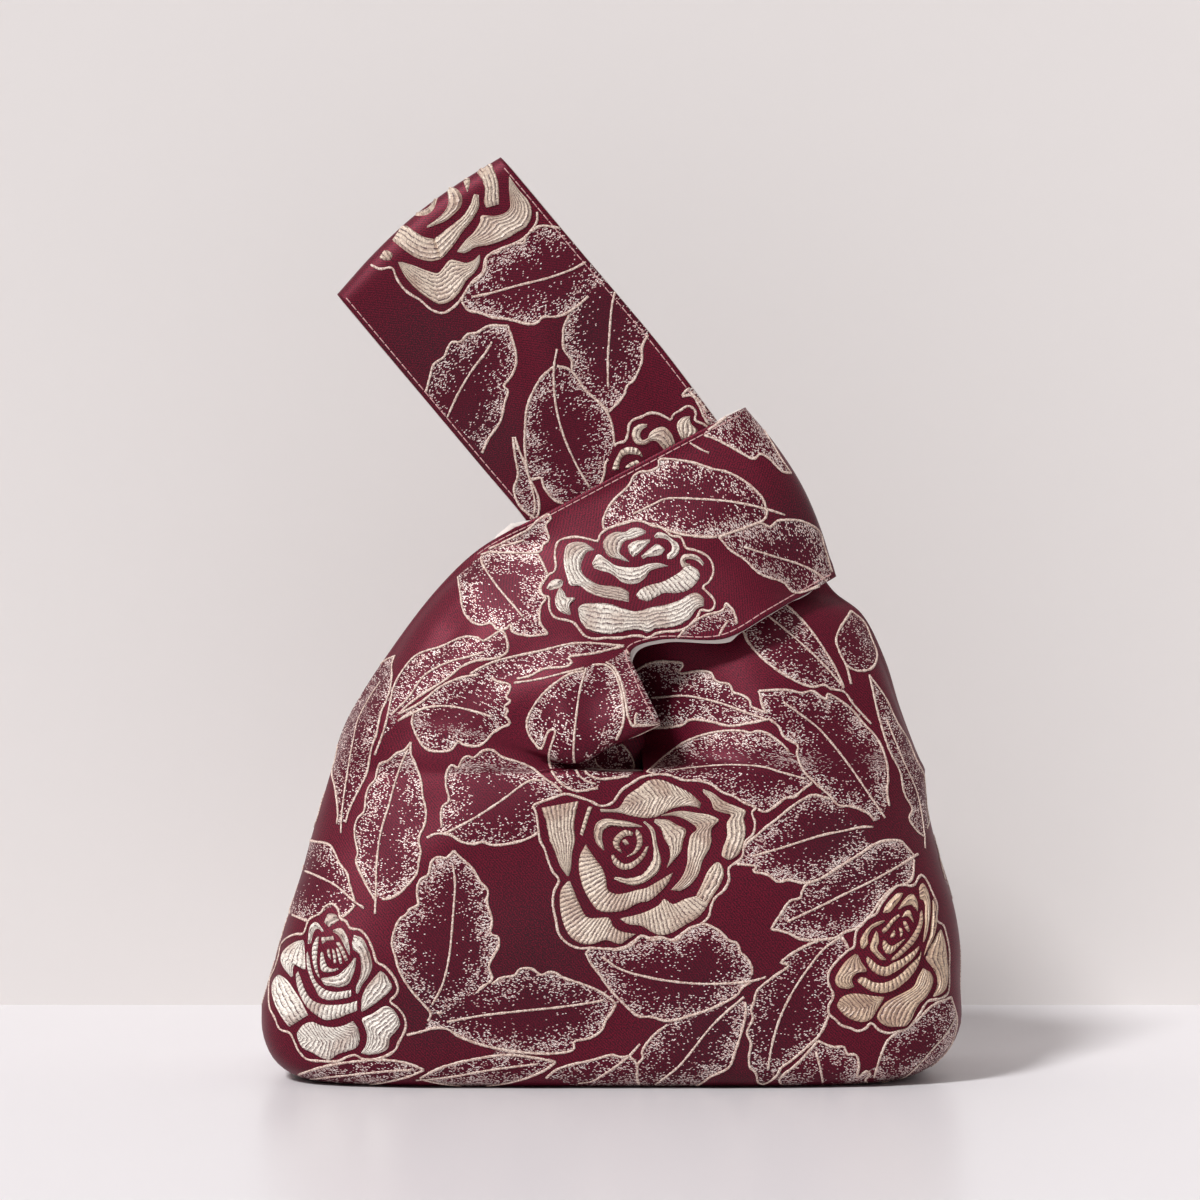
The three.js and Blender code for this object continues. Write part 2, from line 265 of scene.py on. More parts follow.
def handle_end(place, depths, reach, start_along, bulge):
    """Sections that turn a handle's end round to the seam it shares with the other side."""
    ends = []
    for step in range(1, END_ROWS + 1):
        turn = step / END_ROWS * math.pi / 2
        along = lerp(start_along, reach, math.sin(turn))
        points = []
        for index, depth in enumerate(depths):
            share = index / (len(depths) - 1)
            swell = bulge * math.sin(turn) * math.sin(math.pi * share)
            points.append(cloth_point(place(along + swell, share), depth * math.cos(turn)))
        ends.append(np.array(points))
    return ends


def wall_depths(*shares):
    """Depths across a section, as shares of the wall's depth at the mouth's foot."""
    return [share * DEPTH_AT_SLIT for share in shares]


# Places across a handle's section
EVEN_SHARES = (0.0, 0.25, 0.5, 0.75, 1.0)


def left_sections():
    """Left shoulder and short handle, from the mouth's foot to the handle's end."""
    slit = np.array([SLIT_OFFSET, SLIT_HEIGHT])
    side_foot = np.array([-LEFT_WIDTH_AT_SLIT, SLIT_HEIGHT])
    side_top = on_short(-0.69 * SHORT_WIDTH, 0.5)
    neck_top = on_short(-0.23 * SHORT_WIDTH, -0.5)

    def side(share, bulge):
        return between(side_foot, side_top, share, bulge)

    def neck(share, bulge):
        return between(slit, neck_top, share, bulge)

    def band(top, foot, swell):
        return [lerp(top, foot, share) + swell * math.sin(math.pi * share) for share in EVEN_SHARES]

    low = wall_depths(0, 0.55, 0.71, 0.82, 0.9, 0.93, 0.88, 0.47, 0.2)
    low_drops = (0, 0, 0.05, 0.13, 0.23, 0.33, 0.4, 0.34, 0.25)
    under_fold = wall_depths(0, 0.53, 0.68, 0.8, 0.87, 0.88, 0.72, 0.3, 0.17)
    under_drops = (0, 0, 0.08, 0.22, 0.42, 0.68, 0.76, 0.36, 0)
    rises = (0, 0, 0, 0, 0.05, 0.2, 0.45, 0.75, 1)
    lip = wall_depths(0, 0.51, 0.66, 0.78, 0.86, 0.9, 0.92, 0.9, 0.77)
    raised_lip = [depth + MOUTH_FOLD_RISE * rise for depth, rise in zip(lip, rises)]
    lip_drops = (0, 0, 0.08, 0.25, 0.5, 0.8, 0.85, 0.42, 0)
    over_fold = wall_depths(0, 0.58, 0.77, 0.91, 0.93)
    root = band(SHORT_DEPTH, SHORT_FOOT_DEPTH, SHORT_SWELL)
    middle = band(SHORT_DEPTH, 0.92 * SHORT_FOOT_DEPTH, SHORT_SWELL)
    end = band(SHORT_DEPTH, 1.35 * SHORT_DEPTH, 2 * SHORT_SWELL)
    end_start = 0.72 * SHORT_REACH
    sections = [
        section(side(0.07, 0.035), neck(0.13, 0.055), low, low_drops, 0.8),
        section(side(0.14, 0.058), neck(0.36, 0.08), under_fold, under_drops, 0.77),
        section(side(0.2, 0.07), neck(0.43, 0.06), raised_lip, lip_drops, 0.75),
        section(side(0.38, 0.088), neck(0.62, 0.28), over_fold, (0, 0.05, 0.2, 0.25, 0), 0.52),
        section(side(0.66, 0.094), neck(0.82, 0.46), wall_depths(0, 0.42, 0.6, 0.7, 0.72), rounding=0.45),
        section(side(0.85, 0.066), neck(0.98, 0.3), wall_depths(0.04, 0.35, 0.53, 0.65, 0.7)),
        section(on_short(-0.56 * SHORT_WIDTH, 0.5), on_short(-0.06 * SHORT_WIDTH, -0.5), root),
        section(on_short(-0.2 * SHORT_WIDTH, 0.5), on_short(0.2 * SHORT_WIDTH, -0.5), middle),
        section(on_short(end_start, 0.5), on_short(end_start, -0.5), end),
    ]

    def across_end(along, share):
        return on_short(along, 0.5 - share)

    return sections + handle_end(across_end, end, SHORT_REACH, end_start, SHORT_END_BULGE)


def right_sections():
    """Right shoulder and long handle, from the mouth's foot to the handle's top."""
    slit = np.array([SLIT_OFFSET, SLIT_HEIGHT])
    side_foot = np.array([RIGHT_WIDTH_AT_SLIT, SLIT_HEIGHT])
    side_top = on_long(-0.45 * LONG_WIDTH, -0.4)
    neck_top = on_long(0.58 * LONG_WIDTH, 0.5)

    def side(share, bulge):
        return between(side_foot, side_top, share, -bulge)

    def neck(share, bulge):
        return between(slit, neck_top, share, -bulge)

    def layer(swell):
        return [LONG_DEPTH + swell * math.sin(math.pi * share) for share in EVEN_SHARES]

    end = layer(LONG_SWELL / 2)
    end_start = 0.955 * LONG_REACH
    sections = [
        section(side(0.1, 0.01), neck(0.09, 0.025), wall_depths(0, 0.7, 0.87, 0.72, 0.07), rounding=0.62),
        section(side(0.29, 0.036), neck(0.23, 0.045), wall_depths(0, 0.62, 0.8, 0.54, 0.07), rounding=0.56),
        section(side(0.5, 0.076), neck(0.41, 0.07), wall_depths(0, 0.51, 0.63, 0.42, 0.1), rounding=0.5),
        section(side(0.72, 0.08), neck(0.6, 0.065), wall_depths(0, 0.36, 0.43, 0.34, 0.18), rounding=0.45),
        section(side(0.86, 0.02), neck(0.74, 0.045), wall_depths(0, 0.24, 0.29, 0.25, 0.17), rounding=0.4),
        section(side_top, neck(0.87, 0.02), wall_depths(0.04, 0.18, 0.2, 0.19, 0.15)),
        section(on_long(0.13 * LONG_WIDTH, -0.46), neck_top, layer(0.4 * LONG_SWELL)),
        section(on_long(0.39 * LONG_REACH, -0.5), on_long(0.48 * LONG_REACH, 0.5), layer(LONG_SWELL)),
        section(on_long(0.7 * LONG_REACH, -0.5), on_long(0.71 * LONG_REACH, 0.5), layer(LONG_SWELL)),
        section(on_long(end_start, -0.5), on_long(end_start, 0.5), end),
    ]

    def across_end(along, share):
        return on_long(along, share - 0.5)

    return sections + handle_end(across_end, end, LONG_REACH, end_start, LONG_END_BULGE)


def strip_rows(wall, sections, columns):
    """Rows of one strip, the wall and then smooth curves through the sections, and each section's row."""
    stations = [spaced(points, columns) for points in sections]
    nodes = np.array(wall[-2:] + stations)
    spans = len(nodes) - 1
    params = []
    section_rows = []
    for span in range(1, spans):
        length = np.linalg.norm(nodes[span + 1] - nodes[span], axis=1).max()
        count = max(2, round(length / ROW_SPACING))
        params.extend((span + step / count) / spans for step in range(1, count + 1))
        section_rows.append(len(wall) + len(params) - 1)
    columns_up = [spline(nodes[:, column], params) for column in range(columns + 1)]
    upper = np.stack(columns_up, axis=1)
    rows = np.concatenate([np.array(wall), upper])
    rows[:, :, 1] = np.minimum(rows[:, :, 1], -SEAM_DEPTH)
    return rows, section_rows


# Soft folds of the cloth: strip, two ends in the photograph, height in millimetres and width in pixels
FOLDS = (
    ("left", (520, 625), (400, 715), 1.6, 26),
    ("left", (600, 665), (470, 720), 1.8, 24),
    ("left", (560, 690), (575, 770), 2.2, 20),
    ("both", (585, 790), (430, 850), 1.2, 30),
    ("both", (700, 800), (900, 760), 1.0, 34),
    ("right", (860, 640), (915, 760), 1.4, 24),
    ("both", (300, 930), (420, 990), 1.2, 34),
    ("both", (930, 900), (860, 1000), 1.2, 30),
    ("both", (560, 1075), (760, 1040), 1.0, 30),
    ("right", (470, 250), (560, 330), 1.0, 26),
    ("right", (600, 330), (640, 420), 0.9, 24),
    ("left", (600, 560), (760, 500), 1.0, 26),
    ("right", (540, 315), (562, 400), 1.3, 15),
    ("right", (470, 320), (505, 425), -0.9, 17),
    ("right", (612, 375), (662, 425), 1.0, 14),
    ("left", (505, 555), (440, 625), 1.4, 17),
    ("left", (470, 610), (425, 665), -1.2, 12),
    ("left", (430, 645), (360, 765), 1.3, 20),
    ("right", (770, 640), (835, 705), 1.3, 19),
    ("both", (760, 728), (900, 716), -0.8, 15),
)
# Patches of painted sheen, where the two-tone satin is painted grey as it looks when turned from the light,
# in the photograph's pixels: middle and radius
SHEEN_PATCHES = (
    (425, 345, 62), (490, 440, 50), (590, 330, 44), (800, 520, 46), (535, 950, 80),
    (720, 1035, 80), (855, 850, 60), (430, 1010, 50),
)
# Ripples of the cloth: height and length in millimetres
RIPPLES = ((1.1, 46.0), (0.45, 19.0))
# Heights above the table and depths off the seams over which folds and ripples come in, in millimetres
FOLD_HEIGHTS = (2.0, 14.0)
FOLD_DEPTHS = (1.0, 8.0)
# Share of a fold's height that is left at its ends
FOLD_END = 0.4
# Where the short handle looks for the long one behind it, in millimetres, and how often its lift is smoothed
LIFT_SPREAD = (-4.0, 0.0, 4.0)
LIFT_START = -400.0
LIFT_ROUNDS = 10
# Pixels of the photograph in a millimetre of the bag
PIXELS_PER_MM = 2.79
# Cloth that turns farther than this from a line of sight takes no motif along it
GRAZING = -0.08
# How far a line of sight reaches, in millimetres
SIGHT_REACH = 5000.0
# Where the line that sets a random leaf on the cloth starts and how far it reaches, in millimetres
LEAF_VIEW_START = 25.0
LEAF_VIEW_REACH = 55.0
# How far from a random leaf's plane the cloth still takes its specks, in millimetres, and how far it may turn
LEAF_VIEW_DEPTH = 30.0
LEAF_VIEW_TURN = 0.1


def facing_sign(side, facing):
    """The turn that makes a strip's normals point out of the bag."""
    return -side * facing


def unit(vectors):
    """The vectors at a length of one."""
    return vectors / np.maximum(np.linalg.norm(vectors, axis=-1, keepdims=True), TINY)


def neighbours(grid):
    """The values below, above, before and after each value of a grid, whose rim repeats itself."""
    edged = np.pad(grid, 1, mode="edge")
    return edged[:-2, 1:-1], edged[2:, 1:-1], edged[1:-1, :-2], edged[1:-1, 2:]


class Strip:
    """One strip of the bag's face in millimetres: rows from the base up, each from outer to inner edge."""

    def __init__(self, rows, side, facing):
        self.rows = rows
        self.side = side
        self.facing = facing
        self.eye = CAMERA_PLACE * np.array([1.0, facing, 1.0])
        self.measure()

    def measure(self):
        """Works out the outward normals and the tree that finds places on the strip."""
        across = np.gradient(self.rows, axis=1)
        upward = np.gradient(self.rows, axis=0)
        self.normals = unit(np.cross(across, upward) * facing_sign(self.side, self.facing))
        count, width = self.rows.shape[:2]
        points = [tuple(point) for point in self.rows.reshape(-1, 3)]
        faces = []
        for row in range(count - 1):
            for column in range(width - 1):
                corner = row * width + column
                faces.append((corner, corner + 1, corner + width + 1, corner + width))
        self.tree = BVHTree.FromPolygons(points, faces)

    def cast(self, origin, direction):
        """The nearest place that a line meets: its distance, point and outward normal, or None."""
        point, _, face, distance = self.tree.ray_cast(Vector(origin), Vector(direction))
        if point is None:
            return None
        row, column = divmod(face, self.rows.shape[1] - 1)
        normal = self.normals[row:row + 2, column:column + 2].mean(axis=(0, 1))
        return distance, np.array(point), normal / np.linalg.norm(normal)

    def pixels(self):
        """Where each point of the strip lies in the photograph, or in its mirror image for the back."""
        seen = self.rows - self.eye
        ahead = seen[:, :, 1] * self.facing
        across = FRAME_PIXELS / 2 + FOCAL_PIXELS * seen[:, :, 0] / ahead
        down = FRAME_PIXELS / 2 - FOCAL_PIXELS * seen[:, :, 2] / ahead
        return np.stack([across, down], axis=2)

    def unroll(self):
        """Carries the photograph's plane on round the bag's side, where the cloth turns out of sight."""
        sight = unit(self.rows - self.eye)
        self.shown = np.sum(self.normals * sight, axis=2) < GRAZING
        self.flat = self.pixels()
        count, width = self.shown.shape
        turns = np.where(self.shown.any(axis=1), np.argmax(self.shown, axis=1), width)
        # A row that is hidden past its middle, as under the base, isn't unrolled
        turns[turns > width // 2] = 0
        for row, turn in enumerate(turns):
            steps = np.linalg.norm(np.diff(self.rows[row, :turn + 1], axis=0), axis=1)
            beyond = np.cumsum(steps[::-1])[::-1]
            self.flat[row, :turn, 0] = self.flat[row, turn, 0] + self.side * beyond * PIXELS_PER_MM
            self.shown[row, :turn] = True
        self.side_faces = []
        for row in range(count - 1):
            for column in range(max(turns[row], turns[row + 1])):
                corner = row * width + column
                self.side_faces.append((corner, corner + 1, corner + width + 1))
                self.side_faces.append((corner, corner + width + 1, corner + width))
        level = [(across, down, 0.0) for across, down in self.flat.reshape(-1, 2)]
        self.side_tree = BVHTree.FromPolygons(level, self.side_faces)

    def beyond(self, flat):
        """The place round the bag's side for a place of the photograph's plane, with its normal, or None."""
        hit, _, face, _ = self.side_tree.ray_cast(Vector((flat[0], flat[1], 1.0)), Vector((0.0, 0.0, -1.0)))
        if hit is None:
            return None
        corners = list(self.side_faces[face])
        flats = [Vector((across, down, 0.0)) for across, down in self.flat.reshape(-1, 2)[corners]]
        places = [Vector(place) for place in self.rows.reshape(-1, 3)[corners]]
        normal = self.normals.reshape(-1, 3)[corners].mean(axis=0)
        return np.array(barycentric_transform(hit, *flats, *places)), normal / np.linalg.norm(normal)


def lift_over(left, right, first_row):
    """Sets the short handle before the long one that goes through it."""
    clear = STACK + LOOP_CLEARANCE
    backward = Vector((0.0, 1.0, 0.0))
    upper = left.rows[first_row:]
    push = np.zeros(upper.shape[:2])
    for row, column in np.ndindex(push.shape):
        x, y, z = upper[row, column]
        starts = [(x + across, LIFT_START, z + rise) for across in LIFT_SPREAD for rise in LIFT_SPREAD]
        hits = [right.tree.ray_cast(Vector(start), backward)[0] for start in starts]
        depth = max((-hit.y for hit in hits if hit is not None), default=0.0)
        if depth > 0:
            push[row, column] = max(0.0, depth + clear + y)
    for _ in range(LIFT_ROUNDS):
        push = np.maximum(push, sum(neighbours(push)) / 4)
    upper[:, :, 1] -= push


def distance_to_segment(points, start, end):
    """Distance of many flat points to one segment, and the share of the segment beside each."""
    way = end - start
    share = np.clip(((points - start) @ way) / max(way @ way, TINY), 0.0, 1.0)
    return np.linalg.norm(points - start - share[..., None] * way, axis=-1), share


def soften(strips):
    """Adds the soft folds and a faint ripple to the cloth of one panel."""
    moves = {}
    for name, strip in strips.items():
        pixels = strip.pixels()
        move = np.zeros(pixels.shape[:2])
        for owner, start, end, height, width in FOLDS:
            if owner not in (name, "both"):
                continue
            distance, share = distance_to_segment(pixels, np.array(start, float), np.array(end, float))
            along = lerp(FOLD_END, 1.0, np.sin(math.pi * share))
            move += height * np.exp(-((distance / width) ** 2)) * along
        for row, column in np.ndindex(move.shape):
            for height, length in RIPPLES:
                move[row, column] += height * noise.noise(Vector(strip.rows[row, column]) / length)
        height_share = smoothstep(strip.rows[:, :, 2], *FOLD_HEIGHTS)
        seam_share = smoothstep(np.abs(strip.rows[:, :, 1]), *FOLD_DEPTHS)
        moves[name] = move * height_share * seam_share
    left, right = strips["left"], strips["right"]
    middle = (left.normals[:SHARED_ROWS, -1] + right.normals[:SHARED_ROWS, -1]) / 2
    left.normals[:SHARED_ROWS, -1] = middle
    right.normals[:SHARED_ROWS, -1] = middle
    for name, strip in strips.items():
        strip.rows = strip.rows + strip.normals * moves[name][:, :, None]
    right.rows[:SHARED_ROWS, -1] = left.rows[:SHARED_ROWS, -1]
    for strip in strips.values():
        strip.measure()


def front_face():
    """Both strips of the front panel's face before it softens."""
    def left_lean(share):
        return share

    def right_lean(share):
        return smoothstep(share, RIGHT_LEAN_START, 1.0)

    left_wall = wall_rows(-1, LEFT_WIDTH_AT_SLIT, LEFT_END_RADIUS, LEFT_COLUMNS, left_lean)
    right_wall = wall_rows(1, RIGHT_WIDTH_AT_SLIT, RIGHT_END_RADIUS, RIGHT_COLUMNS, right_lean)
    left_rows, left_stations = strip_rows(left_wall, left_sections(), LEFT_COLUMNS)
    right_rows, _ = strip_rows(right_wall, right_sections(), RIGHT_COLUMNS)
    left = Strip(left_rows, -1, 1)
    right = Strip(right_rows, 1, 1)
    lift_over(left, right, left_stations[3])
    left.measure()
    return {"left": left, "right": right}


def bag_faces():
    """The front and back faces of the bag, with the soft folds of the cloth."""
    front = front_face()
    back = {}
    for name, strip in front.items():
        back[name] = Strip(strip.rows * np.array([1.0, -1.0, 1.0]), strip.side, -1)
    for face in (front, back):
        soften(face)
        for strip in face.values():
            strip.unroll()
    return {"front": front, "back": back}


class PhotoView:
    """Puts places of the photograph onto strips of cloth, along the line of sight and on round the sides."""

    def __init__(self, strips):
        self.strips = strips
        self.eye = strips[0].eye
        self.facing = strips[0].facing

    def place(self, flat):
        """The place on the cloth for a flat place, with its normal, or None."""
        across, down = (flat - FRAME_PIXELS / 2) / FOCAL_PIXELS
        hit = nearest_hit(self.strips, self.eye, np.array([across, self.facing, -down]))
        if hit is not None:
            return hit
        found = [strip.beyond(flat) for strip in self.strips]
        return next((place for place in found if place is not None), None)

    def flatten(self, strip):
        """Flat places of a strip's points, and which of them take motifs from the view."""
        return strip.flat, strip.shown


class LocalView:
    """Puts a flat motif onto strips of cloth along the cloth's own normal at one place."""

    def __init__(self, strips, centre, normal, turn):
        self.strips = strips
        self.centre = centre
        self.normal = normal
        up = np.array([0.0, 0.0, 1.0])
        right = np.cross(up, normal)
        right = right / np.linalg.norm(right)
        up = np.cross(normal, right)
        self.right = right * math.cos(turn) + up * math.sin(turn)
        self.up = up * math.cos(turn) - right * math.sin(turn)

    def place(self, flat):
        """The place on the cloth for a flat place, with its normal, or None."""
        offset = (self.right * flat[0] - self.up * flat[1]) / PIXELS_PER_MM
        origin = self.centre + offset + self.normal * LEAF_VIEW_START
        return nearest_hit(self.strips, origin, -self.normal, LEAF_VIEW_REACH)

    def flatten(self, strip):
        """Flat places of a strip's points, and which of them take motifs from the view."""
        offset = strip.rows - self.centre
        flat = np.stack([offset @ self.right, -(offset @ self.up)], axis=2) * PIXELS_PER_MM
        turned_to = strip.normals @ self.normal > LEAF_VIEW_TURN
        return flat, turned_to & (np.abs(offset @ self.normal) < LEAF_VIEW_DEPTH)


def nearest_hit(strips, origin, direction, reach=SIGHT_REACH):
    """The first place of any of the strips on a line: its point and outward normal, or None."""
    hits = [strip.cast(origin, direction) for strip in strips]
    hits = [hit for hit in hits if hit is not None and hit[0] < reach and hit[2] @ direction < GRAZING]
    if not hits:
        return None
    _, point, normal = min(hits, key=lambda hit: hit[0])
    return point, normal


def inside(points, polygon):
    """Which flat points lie inside a closed polygon."""
    points = np.asarray(points, float)
    result = np.zeros(points.shape[:-1], bool)
    ends = np.roll(polygon, -1, axis=0)
    for start, end in zip(polygon, ends):
        crosses = (start[1] > points[..., 1]) != (end[1] > points[..., 1])
        rise = end[1] - start[1]
        if abs(rise) < TINY:
            continue
        at = start[0] + (points[..., 1] - start[1]) / rise * (end[0] - start[0])
        result ^= crosses & (points[..., 0] < at)
    return result


def smooth_line(points, closed=False):
    """A smooth flat line through the points, at the yarn's even step."""
    line = [np.asarray(point, float) for point in points]
    if closed:
        line = [line[-1]] + line + line[:2]
    dense = spline(line, np.linspace(0.0, 1.0, SPAN_SAMPLES * (len(line) - 1) + 1))
    if closed:
        dense = dense[SPAN_SAMPLES:-SPAN_SAMPLES]
    travelled = travel(dense)
    count = max(2, int(round(travelled[-1] / YARN_STEP)))
    return at_lengths(np.linspace(0.0, travelled[-1], count + 1), travelled, dense)


class Leaf:
    """A woven leaf: two sides of its outline, a midrib with its stem, and specks that thin out inwards."""

    def __init__(self, view, shape, size=None):
        """With a size the leaf is scaled about its middle, and without one it lies as in the photograph."""
        self.view = view
        _, self.specks, *lines = shape
        lines = [pairs(line) for line in lines]
        if size is not None:
            middle = np.vstack(lines[:2]).mean(axis=0)
            lines = [(line - middle) * size for line in lines]
        *self.sides, self.midrib = [smooth_line(line) for line in lines]
        self.outline = np.vstack([self.sides[0], self.sides[1][::-1]])
        self.edges = self.sides
        self.covers = []

    def yarns(self):
        """The leaf's lines of yarn and their share of the full width."""
        for line in self.sides:
            yield line, 1.0
        yield self.midrib, MIDRIB_SHARE


class Rose:
    """A woven rose: petals of thread, each between two sides, inside one yarn outline."""

    def __init__(self, view, shape, tone):
        self.view = view
        # How far the rose's threads are painted into shade, from cream in strong light to gold in shade
        self.tone = tone
        self.covers = []
        self.petals = [(hatch, pairs(outer), pairs(inner)) for hatch, outer, inner in shape["petals"]]
        contour = pairs(shape["contour"])
        self.outline = smooth_line(contour, closed=True)
        self.edges = [self.outline]
        self.yarn = smooth_line(contour[:shape["drawn"]]) if "drawn" in shape else self.outline

    def yarns(self):
        """The rose's line of yarn and its share of the full width."""
        yield self.yarn, 1.0


def pairs(pixels):
    """Points of a line from its pixels across and down in turn."""
    return np.array(pixels, float).reshape(-1, 2)


# Steps along a yarn and along a petal, in pixels
YARN_STEP = 2.8
PETAL_STEP = 2.2
# Cells across a petal and the width of its rounded rim, in millimetres
PETAL_CELL = 0.9
PETAL_ROUNDING = 1.1
# Width of a midrib's yarn as a share of an outline's
MIDRIB_SHARE = 0.9

# Roses measured in the photograph, each line as pixels across and down in turn. A petal has the run of its
# dark lines and its two sides.
# Of a contour that is partly hidden, only the first points are drawn in yarn.
CENTRE_ROSE = {
    "petals": (
        ("across", (622, 840, 626, 839), (624, 845, 629, 844)),
        ("across", (633, 832, 625, 830, 618, 834, 613, 841, 615, 848, 622, 853),
         (633, 836, 626, 836, 621, 840, 619, 845, 622, 852)),
        ("across", (637, 829, 642, 836, 642, 845, 636, 853, 627, 857),
         (635, 832, 637, 840, 636, 847, 632, 853, 627, 856)),
        ("across", (611, 856, 614, 864, 621, 869, 630, 869, 638, 864, 645, 856, 649, 846),
         (613, 854, 618, 860, 625, 864, 632, 862, 640, 856, 646, 847)),
        ("along", (604, 851, 597, 844, 594, 834, 596, 824, 604, 819, 618, 820, 630, 822, 642, 826),
         (604, 848, 602, 838, 604, 830, 611, 826, 622, 827, 642, 827)),
        ("along", (645, 821, 654, 829, 657, 843, 661, 862, 657, 873, 637, 885, 622, 883, 614, 879),
         (643, 822, 650, 830, 653, 845, 653, 857, 648, 868, 641, 875, 630, 878, 615, 877)),
        ("along", (655, 819, 668, 820, 677, 825, 686, 830, 683, 841, 681, 851, 674, 860, 667, 868),
         (654, 822, 661, 829, 664, 838, 669, 847, 670, 857, 667, 867)),
        ("along", (661, 815, 680, 811, 697, 813, 710, 815, 719, 820, 712, 828, 711, 845, 703, 860, 698, 875,
          689, 886, 680, 891),
         (661, 816, 676, 816, 688, 821, 697, 829, 691, 835, 688, 848, 687, 864, 682, 877, 671, 890)),
        ("across", (586, 844, 580, 856, 579, 870, 582, 884, 588, 897, 598, 910, 610, 912, 625, 910, 638, 903,
          648, 901, 658, 894, 668, 883, 673, 873),
         (588, 848, 594, 857, 602, 868, 606, 879, 608, 890, 616, 894, 626, 893, 637, 890, 646, 888, 657, 882,
          672, 873)),
        ("across", (568, 881, 561, 890, 560, 905, 563, 922, 570, 936, 580, 943, 592, 944, 606, 940, 620, 944,
          628, 939, 636, 934),
         (570, 881, 574, 891, 579, 903, 587, 917, 598, 918, 609, 918, 613, 926, 620, 931, 635, 934)),
        ("across", (620, 919, 628, 924, 642, 926, 650, 931, 660, 935, 671, 933, 685, 925, 697, 918, 706, 908,
          709, 902),
         (622, 918, 636, 915, 650, 910, 660, 904, 664, 899, 673, 904, 685, 899, 696, 896)),
        ("along", (708, 904, 713, 896, 721, 883, 724, 872, 721, 864, 718, 862),
         (696, 896, 702, 884, 708, 871, 714, 864, 717, 862)),
        ("along", (703, 789, 713, 793, 724, 801, 736, 806, 746, 811, 744, 818, 746, 830, 743, 845, 737, 856,
          730, 860),
         (703, 792, 711, 801, 714, 809, 724, 813, 731, 815, 727, 823, 727, 836, 723, 848, 722, 856,
          728, 860)),
        ("chevron", (600, 809, 618, 808, 627, 796, 638, 788, 650, 780, 662, 780, 676, 786, 690, 793,
          701, 803),
         (601, 812, 620, 813, 632, 816, 645, 818, 655, 817, 664, 813, 674, 808, 688, 806, 700, 808)),
        ("along", (541, 808, 546, 822, 549, 838, 555, 853, 560, 866, 567, 876),
         (579, 801, 576, 812, 574, 825, 575, 840, 572, 855, 571, 868, 569, 876)),
        ("across", (588, 807, 585, 816, 582, 826, 580, 834), (593, 806, 589, 816, 586, 826, 583, 836)),
    ),
    "contour": (
        533, 806, 541, 802, 553, 798, 565, 794, 578, 797, 590, 801, 601, 806, 612, 803, 622, 790, 632, 783,
        640, 778, 652, 775, 668, 775, 683, 780, 700, 781, 712, 785, 722, 792, 735, 797, 744, 803, 756, 808,
        752, 812, 755, 823, 753, 834, 745, 842, 742, 857, 737, 862, 729, 868, 729, 880, 724, 890, 715, 898,
        711, 907, 709, 916, 701, 924, 690, 928, 680, 935, 672, 940, 660, 937, 650, 938, 641, 936, 633, 942,
        622, 948, 610, 949, 592, 948, 578, 948, 567, 943, 559, 934, 556, 920, 553, 905, 554, 892, 559, 880,
        553, 872, 548, 860, 545, 850, 540, 840, 538, 826, 536, 812,
    ),
}
